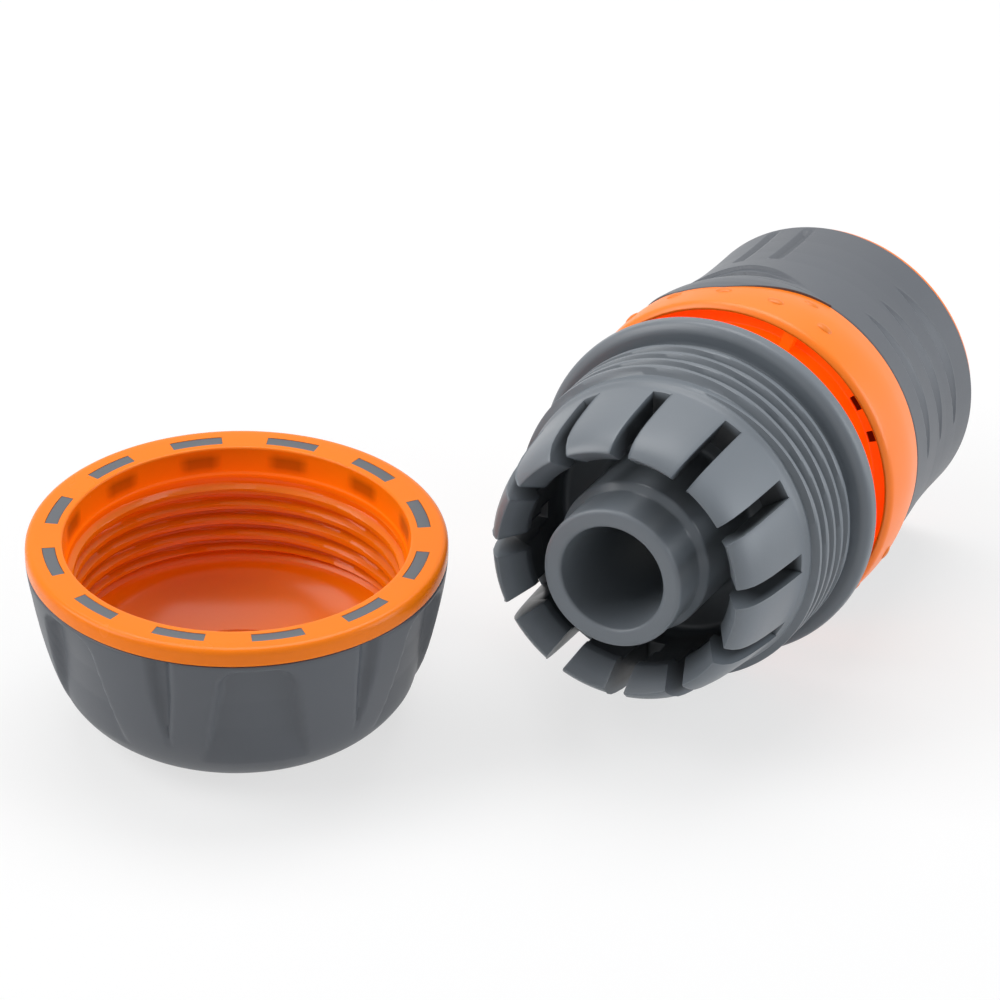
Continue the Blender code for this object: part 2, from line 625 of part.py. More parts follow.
def make_return_spring(parent):
    """A wire coil whose first and last turns lie close together."""
    low = SEAT_END + SPRING_WIRE + SPRING_CLEARANCE
    high = LAND_START - SPRING_WIRE - SPRING_CLEARANCE
    radius = (CORE_R + ROOM_R) / 2 - SPRING_CLEARANCE
    count = round(SPRING_TURNS * SPRING_STEPS)
    pitch = 2 * SPRING_WIRE + SPRING_CLEARANCE
    curve = bpy.data.curves.new("return_spring", "CURVE")
    curve.dimensions = "3D"
    curve.bevel_depth = SPRING_WIRE * MM
    curve.bevel_resolution = 2
    curve.use_fill_caps = True
    line = curve.splines.new("POLY")
    line.points.add(count)
    for k in range(count + 1):
        angle = 2 * math.pi * k / SPRING_STEPS
        share = min(max((k - SPRING_STEPS) / (count - 2 * SPRING_STEPS), 0.0), 1.0)
        closed = min(k / SPRING_STEPS, 1.0) + max((k - count) / SPRING_STEPS + 1.0, 0.0)
        height = low + pitch * closed + (high - low - 2 * pitch) * share
        point = Vector((radius * math.cos(angle), radius * math.sin(angle), height))
        line.points[k].co = (*(point * MM), 1.0)
    curve.materials.append(steel)
    made = bpy.data.objects.new("return_spring", curve)
    made.parent = parent
    parts.objects.link(made)
    return made


def make_stem_seal(parent):
    middle = PLUG_END - PLUG_GROOVE_BACK - PLUG_GROOVE / 2
    ring_r = (GROOVE_FLOOR_R + SOCKET_R) / 2
    profile = [(ring_r + SEAL_WIRE * math.cos(a), middle + SEAL_WIRE * math.sin(a))
               for a in [-math.pi / 4 * n for n in range(8)]]
    return turned("stem_seal", profile, parent, rubber, INNER_STEPS)


def bowl_curve(height, top_r, low_r, low, fall, count):
    """Bowl curve from (top_r, height) down to (low_r, low); fall sets how late it turns in."""
    found = []
    for k in range(count + 1):
        depth = math.sin(math.pi / 2 * k / count)
        found.append((top_r - (top_r - low_r) * depth ** fall, height - (height - low) * depth))
    return found


def make_nut_core(parent):
    outside = [
        (NUT_MOUTH_R, NUT_HEIGHT), (NUT_R - NUT_RIM_ROUND, NUT_HEIGHT),
        (NUT_R - 0.3 * NUT_RIM_ROUND, NUT_HEIGHT - 0.3 * NUT_RIM_ROUND), (NUT_R, NUT_HEIGHT - NUT_RIM_ROUND),
        (NUT_R, BAND_FACE),
        *bowl_curve(BAND_FACE, NUT_CORE_R, NOSE_R, NOSE_HEIGHT, NUT_CORE_CURVE, 8), (NOSE_R, 0.0),
    ]
    cup_r = NUT_THREAD_R - NUT_THREAD_RUNOUT
    bowl = bowl_curve(BOWL_TOP, cup_r, HOSE_HOLE_R, HOSE_HOLE_DEPTH, NUT_BOWL_CURVE, 6)
    thread_top = NUT_HEIGHT - NUT_THREAD_DEPTH
    inside = [(HOSE_HOLE_R, 0.0), *reversed(bowl), (NUT_THREAD_R, BOWL_TOP + NUT_THREAD_RUNOUT),
              (NUT_THREAD_R, thread_top), (NUT_MOUTH_R - EDGE, thread_top + NUT_THREAD_RUNOUT),
              (NUT_MOUTH_R - EDGE, NUT_HEIGHT - EDGE)]
    core = turned("nut_core", outside + inside, parent, orange)
    bm = bmesh.new()
    near, far = KEY_R - GAP + NUT_SKIN, KEY_R + KEY_WIDTH + GAP
    low, high = BAND_FACE - OVERCUT, NUT_HEIGHT + OVERCUT
    opening = [(near, low), (near, high), (far, high), (far, low)]
    for k in range(KEY_COUNT):
        middle = KEY_PHASE + 360.0 * k / KEY_COUNT
        spun(bm, opening, middle - KEY_HOLE_ARC / 2, middle + KEY_HOLE_ARC / 2, KEY_HOLE_STEPS)
    holes = new_object("key_holes", finish_mesh("key_holes", bm), parent)
    boolean(core, holes)
    return core


def loft(bm, sections, angle):
    """Adds the solid between like sections, one above the other, turned to a clock angle."""
    place = Matrix.Rotation(math.radians(angle), 3, "Z")
    rings = [[bm.verts.new(place @ Vector(point)) for point in section] for section in sections]
    faces = [bm.faces.new(rings[0]), bm.faces.new(rings[-1])]
    for here, there in zip(rings, rings[1:]):
        count = len(here)
        for k in range(count):
            n = (k + 1) % count
            faces.append(bm.faces.new((here[k], here[n], there[n], there[k])))
    bmesh.ops.recalc_face_normals(bm, faces=faces)


def nut_grip_radius(depth):
    """Outer radius of the nut's grip; depth runs from 0 under the band to 1 at the base."""
    depth = max(depth, 0.0)
    turn = NUT_R - NUT_SKIN - NUT_LEAN - NUT_BASE_R
    return NUT_R - NUT_SKIN - NUT_LEAN * depth ** NUT_LEAN_POWER - turn * depth ** NUT_TURN_POWER


def make_nut_grip(parent):
    count = 11
    depths = [math.sin(math.pi / 2 * k / count) for k in range(count + 1)]
    outer = [(nut_grip_radius(d), NUT_GRIP_TOP - (NUT_GRIP_TOP - NUT_FOOT) * d) for d in depths]
    core = bowl_curve(NUT_GRIP_TOP, NUT_CORE_R + GAP, NOSE_R + GAP, NOSE_HEIGHT - GAP, NUT_CORE_CURVE, 8)
    profile = [*outer, (NOSE_R + GAP, NUT_FOOT), *reversed(core)]
    grip = turned("nut_grip", profile, parent, grey_soft)
    bm = bmesh.new()
    key_foot = NUT_GRIP_TOP - KEY_ROOT
    near, far = KEY_R + NUT_SKIN, KEY_R + KEY_WIDTH
    key = [(near, key_foot), (near, NUT_HEIGHT), (far, NUT_HEIGHT), (far, key_foot)]
    for k in range(KEY_COUNT):
        middle = KEY_PHASE + 360.0 * k / KEY_COUNT
        spun(bm, key, middle - KEY_ARC / 2, middle + KEY_ARC / 2, KEY_STEPS)
    keys = new_object("rim_keys", finish_mesh("rim_keys", bm), parent)
    boolean(grip, keys, "UNION")
    bm = bmesh.new()
    for k in range(PANEL_COUNT):
        middle = PANEL_PHASE + 360.0 * k / PANEL_COUNT
        loft(bm, panel_sections(), middle)
        loft(bm, dart_sections(), middle + 180.0 / PANEL_COUNT)
    recesses = new_object("grip_recesses", finish_mesh("grip_recesses", bm), parent)
    boolean(grip, recesses)
    return grip


def cut_section(height, depth, floor_half, edge_half):
    """Section of a groove at one height: a floor, two sloping sides, and open past the surface."""
    surface = nut_grip_radius((NUT_GRIP_TOP - height) / (NUT_GRIP_TOP - NUT_FOOT))
    half = [(surface - depth, floor_half), (surface, edge_half), (NUT_R + OVERCUT, edge_half)]
    return [(r, w, height) for r, w in half] + [(r, -w, height) for r, w in reversed(half)]


def panel_sections():
    """An arch that is deepest at its top, and wider and shallower downwards."""
    top = NUT_GRIP_TOP - PANEL_TOP_GAP
    shoulder = top - PANEL_SHOULDER
    found = [cut_section(top, -NUT_SKIN, PANEL_TOP_HALF, PANEL_TOP_HALF + 2 * NUT_SKIN),
             cut_section((top + shoulder) / 2, 0.5 * PANEL_DEPTH, PANEL_TOP_HALF,
                         PANEL_TOP_HALF + 0.75 * PANEL_BEVEL)]
    for part in (0.0, 0.35, 0.65, 0.85, 1.0):
        height = shoulder + (PANEL_FOOT - shoulder) * part
        half = PANEL_TOP_HALF + (PANEL_LOW_HALF - PANEL_TOP_HALF) * part ** 0.8
        found.append(cut_section(height, PANEL_DEPTH * (1 - part ** 3) - NUT_SKIN * part, half,
                                 half + PANEL_BEVEL * (1 - part) + NUT_SKIN))
    return found


def dart_sections():
    """A narrow groove that starts under the band and runs out to a point."""
    found = []
    for part in (-0.1, 0.3, 0.6, 0.85, 1.0):
        height = NUT_GRIP_TOP + (DART_FOOT - NUT_GRIP_TOP) * part
        depth = DART_DEPTH * (1 - max(part, 0.0) ** 2.5) - NUT_SKIN
        edge = DART_HALF * (1 - max(part, 0.0) ** 1.5) + 2 * NUT_SKIN
        found.append(cut_section(height, depth, DART_FLOOR * edge, edge))
    return found


clear_scene()
parts = new_collection("garden_hose_quick_connector")
cutters = new_collection("cutters")

grey_hard = new_material("grey_abs", (0.17, 0.18, 0.19), 0.42)
grey_soft = new_material("grey_soft_grip", (0.085, 0.088, 0.094), 0.55)
orange = new_material("orange_abs", (1.0, 0.19, 0.012), 0.3)
white_hard = new_material("white_acetal", (0.75, 0.74, 0.70), 0.35)
rubber = new_material("black_rubber", (0.012, 0.012, 0.012), 0.6)
steel = new_material("stainless_steel", (0.62, 0.61, 0.6), 0.28, 1.0)

nut_axis = new_empty("nut_axis", (BODY_X - NUT_ASIDE, BODY_Y - NUT_FORWARD, 0))
body_axis = new_empty("body_axis", (BODY_X, BODY_Y, AXIS_HEIGHT))
up = Vector((0, math.sin(TILT), math.cos(TILT)))
along = Vector((0, math.cos(TILT), -math.sin(TILT)))
body_axis.rotation_euler = Matrix((up, Vector((1, 0, 0)), along)).transposed().to_euler()
sleeve_slide = new_empty("sleeve_slide", (0, 0, 0), body_axis)

make_nut_core(nut_axis)
make_nut_grip(nut_axis)
make_connector_body(body_axis)
make_socket_core(body_axis)
make_stem_seal(body_axis)
make_return_spring(body_axis)
make_release_collar(sleeve_slide)
make_sleeve_grip(sleeve_slide)
make_claws(body_axis)
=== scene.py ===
"""Garden hose quick connector with its nut taken off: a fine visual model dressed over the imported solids.

Sizes are in millimetres. Two places are used: the nut's own axis, and the body's axis, along which
stations run from the mouth of the hose tail to the coupling end. Angles round an axis are in degrees;
on the body they are clock angles, clockwise from the top as seen from the hose end.
"""
import json
import math

import bmesh
import bpy
from bpy.props import FloatProperty, FloatVectorProperty, IntProperty, PointerProperty
from mathutils import Matrix, Vector


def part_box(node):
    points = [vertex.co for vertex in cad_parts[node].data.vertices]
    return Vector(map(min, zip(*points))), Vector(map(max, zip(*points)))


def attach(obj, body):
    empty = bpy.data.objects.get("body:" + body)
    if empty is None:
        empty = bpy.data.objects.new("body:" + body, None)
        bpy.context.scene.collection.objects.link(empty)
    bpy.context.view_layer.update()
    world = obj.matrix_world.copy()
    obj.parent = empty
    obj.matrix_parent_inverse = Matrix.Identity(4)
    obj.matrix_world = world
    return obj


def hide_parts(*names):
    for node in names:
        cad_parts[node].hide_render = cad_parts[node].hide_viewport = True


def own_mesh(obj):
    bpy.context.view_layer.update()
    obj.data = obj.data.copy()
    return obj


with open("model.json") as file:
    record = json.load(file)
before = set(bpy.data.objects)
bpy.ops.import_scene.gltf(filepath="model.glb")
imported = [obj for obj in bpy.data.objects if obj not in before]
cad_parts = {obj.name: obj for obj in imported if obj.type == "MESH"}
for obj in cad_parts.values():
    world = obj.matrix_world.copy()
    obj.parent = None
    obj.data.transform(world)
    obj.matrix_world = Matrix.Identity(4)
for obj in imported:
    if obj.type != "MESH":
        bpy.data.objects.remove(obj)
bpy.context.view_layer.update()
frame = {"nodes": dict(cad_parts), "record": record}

bl_info = {
    "name": "Garden hose quick connector",
    "version": (1, 0, 0),
    "blender": (4, 5, 0),
    "location": "3D View > Sidebar > Hose Connector",
    "description": "Builds the pieces, the finishes and the stage of a hose quick connector",
    "category": "Object",
}

MM = 0.001

# Mesh fineness: steps round a turned piece, and rows along a carved one
TURN_STEPS = 240
TURN_STEP = 360.0 / TURN_STEPS
CARVE_STEPS = 360
THREAD_ROW = 0.14
CARVE_ROW = 0.11

# Tolerances: points that are welded, a radius or station that is close, and points on one level
WELD = 0.0008
NEAR = 0.01
LEVEL = 0.0005


def size(name, text, default):
    """A length in millimetres that a user may change."""
    return FloatProperty(name=name, description=text + ", in millimetres", default=default, min=0.0,
                         precision=2)


def tint(name, text, default):
    return FloatVectorProperty(name=name, description=text, subtype="COLOR", size=3, default=default,
                               min=0.0, max=1.0)


class BodySizes(bpy.types.PropertyGroup):
    """The grey half with the hose tail, the fingers and the male thread."""
    tail_radius: size("Tail radius", "Outer radius of the hose tail", 6.6)
    tail_mouth: size("Tail mouth", "Radius of the bore at the mouth", 4.95)
    barb_radius: size("Barb radius", "Outer radius of the tail behind its step", 7.3)
    flow_radius: size("Flow radius", "Radius of the water way", 4.3)
    finger_radius: size("Finger radius", "Outer radius at the root of the fingers", 13.9)
    finger_slot: size("Finger slot", "Width of the slots between fingers", 1.8)
    finger_root: size("Finger root", "Station at which the slots end", 10.5)
    pocket_radius: size("Pocket radius", "Inner radius of the fingers at their root", 11.0)
    thread_root: size("Thread root", "Root radius of the male thread", 14.25)
    thread_height: size("Thread height", "Height of the thread", 0.72)
    thread_pitch: size("Thread pitch", "Pitch of both threads", 1.6)
    flange_radius: size("Flange radius", "Outer radius of the stop flange", 16.35)
    flange_face: size("Flange face", "Station of the flange's front", 20.2)
    finger_count: IntProperty(name="Fingers", description="Clamping fingers round the tail", default=12,
                              min=3)


class SleeveSizes(bpy.types.PropertyGroup):
    """The orange release sleeve and its soft grip."""
    bell_radius: size("Bell radius", "Outer radius of the bell", 16.0)
    bell_front: size("Bell front", "Station of the bell's lip", 26.2)
    seam: size("Seam", "Station of the seam between bell and grip", 34.0)
    end: size("End", "Station of the coupling end", 50.5)
    rear_radius: size("Rear radius", "Radius of the rim at the coupling end", 13.93)
    pip_height: size("Pip height", "How far the pips stand out", 0.2)
    groove_depth: size("Groove depth", "Depth of the two short grooves in the scoop's back", 0.4)
    crescent_depth: size("Crescent depth", "Depth of the crescent steps", 0.34)


class NutSizes(bpy.types.PropertyGroup):
    """The clamping nut."""
    radius: size("Radius", "Outer radius of the rim", 19.0)
    height: size("Height", "Height over the base", 18.0)
    band: size("Band", "Height of the orange band", 1.75)
    lean: size("Lean", "How far the outside leans in before it turns under", 3.8)
    thread_radius: size("Thread radius", "Root radius of the inner thread", 15.3)
    thread_height: size("Thread height", "Height of the inner thread", 0.62)
    hole_radius: size("Hole radius", "Radius of the hose hole", 9.25)
    panel_depth: size("Panel depth", "Depth of the arched panels", 1.05)
    dart_depth: size("Dart depth", "Depth of the narrow darts between panels", 0.8)
    key_count: IntProperty(name="Keys", description="Soft keys that come up through the rim", default=12,
                           min=1)
    panel_count: IntProperty(name="Panels", description="Arched panels round the grip", default=6, min=1)


class Finishes(bpy.types.PropertyGroup):
    """Colours of the plastics, rubber and steel."""
    orange: tint("Orange plastic", "Colour of the hard orange plastic", (1.0, 0.215, 0.003))
    grey: tint("Grey plastic", "Colour of the hard grey plastic", (0.150, 0.170, 0.192))
    soft: tint("Soft grip", "Colour of the soft grey grip", (0.088, 0.097, 0.112))
    white: tint("Claw plastic", "Colour of the locking claws", (0.75, 0.74, 0.70))
    rubber: tint("Seal rubber", "Colour of the seal", (0.012, 0.012, 0.012))
    steel: tint("Spring steel", "Colour of the spring wire", (0.62, 0.61, 0.60))


class StageSettings(bpy.types.PropertyGroup):
    """Camera and light."""
    azimuth: FloatProperty(name="Azimuth", description="Camera direction round the object", default=25.08)
    elevation: FloatProperty(name="Elevation", description="Camera height angle", default=31.49)
    roll: FloatProperty(name="Roll", description="Camera roll in degrees", default=0.02)
    distance: FloatProperty(name="Distance", description="Camera distance from its aim", default=0.8352,
                            unit="LENGTH")
    lens: FloatProperty(name="Lens", description="Focal length on a 36 mm sensor", default=319.34)
    key: FloatProperty(name="Key light", description="Power of the main soft box in watts", default=3.2)
    fill: FloatProperty(name="Fill light", description="Power of the side soft box in watts", default=2.6)
    top: FloatProperty(name="Top light", description="Power of the overhead soft box in watts", default=4.2)
    ambient: FloatProperty(name="Ambient", description="Strength of the white surround", default=0.28)


# Places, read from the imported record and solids

TAIL_MOUNT_HEIGHT = 5.8


def mount(name):
    return next(m for m in frame["record"]["mounts"] if m["name"] == name)


def body_place():
    """Matrix from the body's own axes (up, right, along), in millimetres, to the row frame."""
    along = -Vector(mount("hose_tail_face")["axis"])
    right = Vector((1.0, 0.0, 0.0))
    up = right.cross(along)
    origin = Vector(mount("hose_tail_face")["pos_m"]) - up * TAIL_MOUNT_HEIGHT * MM
    turn_to = Matrix((up, right, along)).transposed().to_4x4()
    return Matrix.Translation(origin) @ turn_to @ Matrix.Scale(MM, 4)


def nut_place():
    low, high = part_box("nut_core")
    middle = (Vector(low) + Vector(high)) / 2
    return Matrix.Translation((middle.x, middle.y, 0.0)) @ Matrix.Scale(MM, 4)


# Shape helpers

def ease(value):
    """Smooth step from 0 to 1."""
    value = min(max(value, 0.0), 1.0)
    return value * value * (3.0 - 2.0 * value)


def between(value, spots):
    """Reads a short list of (place, value) pairs, in straight lines between them."""
    if value <= spots[0][0]:
        return spots[0][1]
    for (a, low), (b, high) in zip(spots, spots[1:]):
        if value <= b:
            return low + (high - low) * (value - a) / (b - a)
    return spots[-1][1]


def angle_from(angle, centre):
    """Signed difference of two angles in degrees, from -180 to 180."""
    return (angle - centre + 180.0) % 360.0 - 180.0


def off_nearest(angle, count, first):
    """Signed angle from the nearest of evenly spaced places round an axis, in degrees."""
    pitch = 360.0 / count
    return (angle - first + pitch / 2) % pitch - pitch / 2


def angle_of(co):
    """Angle of a point round Z, in degrees."""
    return math.degrees(math.atan2(co.y, co.x))


def radius_of(co):
    """Distance of a point from Z."""
    return math.hypot(co.x, co.y)


def rounded(corners, segments=4):
    """Points of a closed outline of (radius, station, rounding) corners."""
    points = []
    count = len(corners)
    for k, corner in enumerate(corners):
        here = Vector(corner[:2])
        rounding = corner[2] if len(corner) > 2 else 0.0
        before = Vector(corners[k - 1][:2]) - here
        after = Vector(corners[(k + 1) % count][:2]) - here
        if rounding <= 0.0:
            points.append(here)
            continue
        reach = min(rounding, 0.48 * before.length, 0.48 * after.length)
        start = here + before.normalized() * reach
        end = here + after.normalized() * reach
        for n in range(segments + 1):
            t = n / segments
            points.append(start * (1 - t) ** 2 + here * 2 * t * (1 - t) + end * t ** 2)
    return points


def rows(low, high, spacing):
    """Evenly spaced places between two others, without the first."""
    count = max(1, round(abs(high - low) / spacing))
    return [low + (high - low) * (k + 1) / count for k in range(count)]


def turn(bm, outline, steps=TURN_STEPS, start=0.0):
    """Turns a closed outline of (radius, station) points a full turn about Z, from a start angle."""
    east, north = math.cos(math.radians(start)), math.sin(math.radians(start))
    ring = [bm.verts.new((point[0] * east, point[0] * north, point[1])) for point in outline]
    edges = [bm.edges.new(pair) for pair in zip(ring, ring[1:] + ring[:1])]
    bmesh.ops.spin(bm, geom=ring + edges, cent=(0, 0, 0), axis=(0, 0, 1), dvec=(0, 0, 0),
                   angle=math.tau, steps=steps, use_merge=True)


def sweep(bm, outline, start, end, steps):
    """Turns a closed outline part of the way round Z, closed at both ends."""
    ring = [bm.verts.new((point[0], 0.0, point[1])) for point in outline]
    face = bm.faces.new(ring)
    bmesh.ops.rotate(bm, verts=ring, cent=(0, 0, 0), matrix=Matrix.Rotation(math.radians(start), 3, "Z"))
    bmesh.ops.spin(bm, geom=[face, *face.edges, *ring], cent=(0, 0, 0), axis=(0, 0, 1), dvec=(0, 0, 0),
                   angle=math.radians(end - start), steps=steps, use_merge=False)


def carve(bm, where, radius_at):
    """Moves every vertex that passes a test to the radius that a rule gives for its angle and station."""
    for vert in bm.verts:
        radius = radius_of(vert.co)
        if where(radius, vert.co.z):
            scale = radius_at(angle_of(vert.co), vert.co.z, radius) / radius
            vert.co.x *= scale
            vert.co.y *= scale


def pocket(bm, chosen, push):
    """Sinks a patch of faces along a direction, with walls."""
    faces = [face for face in bm.faces if chosen(face.calc_center_median())]
    grown = bmesh.ops.extrude_face_region(bm, geom=faces)
    moved = [part for part in grown["geom"] if isinstance(part, bmesh.types.BMVert)]
    bmesh.ops.translate(bm, verts=moved, vec=push)
    bmesh.ops.delete(bm, geom=[face for face in faces if face.is_valid], context="FACES")


def bevel_sharp(bm, width, chosen, least=0.6, segments=2):
    """Bevels the edges whose faces meet at more than an angle and whose middle passes a test."""
    bm.normal_update()
    edges = []
    for edge in bm.edges:
        if len(edge.link_faces) == 2 and edge.calc_face_angle() > least:
            if chosen((edge.verts[0].co + edge.verts[1].co) / 2):
                edges.append(edge)
    bmesh.ops.bevel(bm, geom=edges, offset=width, offset_type="OFFSET", affect="EDGES",
                    segments=segments, profile=0.5, material=-1, clamp_overlap=True)


def finish_piece(name, bm, place, material, body, nodes, sharp=38.0):
    """Closes, places and shades a piece, and hangs it on its body."""
    bmesh.ops.remove_doubles(bm, verts=bm.verts, dist=WELD)
    bmesh.ops.recalc_face_normals(bm, faces=bm.faces)
    bmesh.ops.transform(bm, matrix=place, verts=bm.verts)
    mesh = bpy.data.meshes.new(name)
    bm.to_mesh(mesh)
    bm.free()
    mesh.materials.append(material)
    mesh.shade_smooth()
    mesh.set_sharp_from_angle(angle=math.radians(sharp))
    piece = bpy.data.objects.new(name, mesh)
    bpy.context.scene.collection.objects.link(piece)
    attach(piece, body)
    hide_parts(*nodes)
    return piece


# Finishes

def node(tree, kind, **values):
    """Adds a shader node; names of sockets in values set their defaults."""
    made = tree.nodes.new(kind)
    for key, value in values.items():
        if key in made.inputs:
            made.inputs[key].default_value = value
        else:
            setattr(made, key, value)
    return made


# Range of the slow clouds that changes the gloss, and height of the fine grain in metres
CLOUD_RANGE = (0.3, 0.7)
GRAIN_RELIEF = 0.00002


def grain_group():
    """Fine spark-eroded grain with slow clouds of tone, as on moulded plastic."""
    found = bpy.data.node_groups.get("moulded_grain")
    if found:
        return found
    tree = bpy.data.node_groups.new("moulded_grain", "ShaderNodeTree")
    face = tree.interface
    face.new_socket("Vector", in_out="INPUT", socket_type="NodeSocketVector")
    face.new_socket("Grain", in_out="INPUT", socket_type="NodeSocketFloat").default_value = 3500.0
    face.new_socket("Height", in_out="OUTPUT", socket_type="NodeSocketFloat")
    face.new_socket("Tone", in_out="OUTPUT", socket_type="NodeSocketFloat")
    start = tree.nodes.new("NodeGroupInput")
    end = tree.nodes.new("NodeGroupOutput")
    fine = node(tree, "ShaderNodeTexNoise", Detail=3.0, Roughness=0.6)
    slow = node(tree, "ShaderNodeTexNoise", Scale=130.0, Detail=3.0, Roughness=0.55)
    tree.links.new(start.outputs["Vector"], fine.inputs["Vector"])
    tree.links.new(start.outputs["Grain"], fine.inputs["Scale"])
    tree.links.new(start.outputs["Vector"], slow.inputs["Vector"])
    tree.links.new(fine.outputs["Fac"], end.inputs["Height"])
    tree.links.new(slow.outputs["Fac"], end.inputs["Tone"])
    return tree


def plastic(name, colour, roughness, spread, grain, bump, tone, specular=0.5, metallic=0.0, shade=None,
            glow=None):
    """Moulded surface: grain in the surface, clouds in the tone and in the gloss, and painted shade and a
    painted glow where a finish has them.
    """
    made = bpy.data.materials.new(name)
    made.use_nodes = True
    tree = made.node_tree
    shader = tree.nodes["Principled BSDF"]
    shader.inputs["Specular IOR Level"].default_value = specular
    shader.inputs["Metallic"].default_value = metallic
    # Painted glow: emission that stands in for light through thin walls
    if glow is not None:
        shader.inputs["Emission Strength"].default_value = PAINTED_GLOW_STRENGTH
    place = tree.nodes.new("ShaderNodeTexCoord")
    group = node(tree, "ShaderNodeGroup")
    group.node_tree = grain_group()
    group.inputs["Grain"].default_value = grain
    tree.links.new(place.outputs["Object"], group.inputs["Vector"])
    light = tuple(min(1.0, c * (1.0 + tone)) for c in colour)
    dark = tuple(c * (1.0 - tone) for c in colour)
    blend = node(tree, "ShaderNodeMix", data_type="RGBA")
    blend.inputs[6].default_value = (*dark, 1.0)
    blend.inputs[7].default_value = (*light, 1.0)
    tree.links.new(group.outputs["Tone"], blend.inputs["Factor"])
    colour_out = blend.outputs[2]
    # Painted shade, where a finish has it
    if shade is not None:
        colour_out = shade(tree, place.outputs["Object"], colour_out)
    tree.links.new(colour_out, shader.inputs["Base Color"])
    if glow is not None:
        tree.links.new(glow(tree, place.outputs["Object"]), shader.inputs["Emission Color"])
    gloss = node(tree, "ShaderNodeMapRange")
    gloss.inputs["From Min"].default_value, gloss.inputs["From Max"].default_value = CLOUD_RANGE
    gloss.inputs["To Min"].default_value = roughness - spread
    gloss.inputs["To Max"].default_value = roughness + spread
    tree.links.new(group.outputs["Tone"], gloss.inputs["Value"])
    tree.links.new(gloss.outputs["Result"], shader.inputs["Roughness"])
    relief = node(tree, "ShaderNodeBump")
    relief.inputs["Strength"].default_value = bump
    relief.inputs["Distance"].default_value = GRAIN_RELIEF
    tree.links.new(group.outputs["Height"], relief.inputs["Height"])
    tree.links.new(relief.outputs["Normal"], shader.inputs["Normal"])
    return made


def math_node(tree, operation, first, second, clamp=False):
    made = node(tree, "ShaderNodeMath", operation=operation, use_clamp=clamp)
    for socket, value in zip(made.inputs, (first, second)):
        if isinstance(value, (int, float)):
            socket.default_value = value
        else:
            tree.links.new(value, socket)
    return made.outputs[0]


def inside_range(tree, value, low, high, soft):
    """Mask that is 1 between two values and fades over a soft width."""
    rise = math_node(tree, "DIVIDE", math_node(tree, "SUBTRACT", value, low), soft, clamp=True)
    fall = math_node(tree, "DIVIDE", math_node(tree, "SUBTRACT", high, value), soft, clamp=True)
    return math_node(tree, "MULTIPLY", rise, fall)


def place_group(name, place):
    """Station, radius and angle, in millimetres and radians, of a point in a piece's own axes."""
    found = bpy.data.node_groups.get(name)
    if found:
        return found
    tree = bpy.data.node_groups.new(name, "ShaderNodeTree")
    tree.interface.new_socket("Vector", in_out="INPUT", socket_type="NodeSocketVector")
    for socket in ("Station", "Radius", "Angle"):
        tree.interface.new_socket(socket, in_out="OUTPUT", socket_type="NodeSocketFloat")
    start = tree.nodes.new("NodeGroupInput")
    end = tree.nodes.new("NodeGroupOutput")
    away = node(tree, "ShaderNodeVectorMath", operation="SUBTRACT")
    away.inputs[1].default_value = place.translation
    tree.links.new(start.outputs["Vector"], away.inputs[0])
    parts = []
    for column in range(3):
        along = node(tree, "ShaderNodeVectorMath", operation="DOT_PRODUCT")
        along.inputs[1].default_value = place.col[column].to_3d() / MM ** 2
        tree.links.new(away.outputs["Vector"], along.inputs[0])
        parts.append(along.outputs["Value"])
    squares = [math_node(tree, "MULTIPLY", part, part) for part in parts[:2]]
    radius = math_node(tree, "SQRT", math_node(tree, "ADD", *squares), 0.0)
    tree.links.new(parts[2], end.inputs["Station"])
    tree.links.new(radius, end.inputs["Radius"])
    tree.links.new(math_node(tree, "ARCTAN2", parts[1], parts[0]), end.inputs["Angle"])
    return tree


def shaded(tree, colour, mask, dark):
    """Blends a colour, or a socket's colour, towards another one where a mask says so."""
    blend = node(tree, "ShaderNodeMix", data_type="RGBA")
    tree.links.new(mask, blend.inputs[0])
    if isinstance(colour, tuple):
        blend.inputs[6].default_value = (*colour, 1.0)
    else:
        tree.links.new(colour, blend.inputs[6])
    blend.inputs[7].default_value = (*dark, 1.0)
    return blend.outputs[2]


def product(tree, first, *others):
    """Multiplies sockets and numbers."""
    for other in others:
        first = math_node(tree, "MULTIPLY", first, other)
    return first


def body_spot(tree, vector):
    """Adds a node that gives station, radius and angle in the body's own axes."""
    spot = node(tree, "ShaderNodeGroup", node_tree=place_group("body_places", body_place()))
    tree.links.new(vector, spot.inputs["Vector"])
    return spot.outputs


def nut_spot(tree, vector):
    """Adds a node that gives station, radius and angle in the nut's own axes."""
    spot = node(tree, "ShaderNodeGroup", node_tree=place_group("nut_places", nut_place()))
    tree.links.new(vector, spot.inputs["Vector"])
    return spot.outputs


def zone(tree, spot, stations, radii):
    """Mask of a ring-shaped zone; stations and radii are (low, high, soft edge) in millimetres."""
    return product(tree, inside_range(tree, spot["Station"], *stations),
                   inside_range(tree, spot["Radius"], *radii))


# Painted glow: emission that stands in for light coming through the thin orange walls
PAINTED_GLOW_STRENGTH = 0.52
NUT_PAINTED_GLOW_SHARE = 0.6
GLOW_NONE = (0.0, 0.0, 0.0)
PAINTED_GLOW_ALL_ROUND = (0.14, 0.004, 0.0)
PAINTED_GLOW_THIN_WALL = (1.0, 0.08, 0.0)
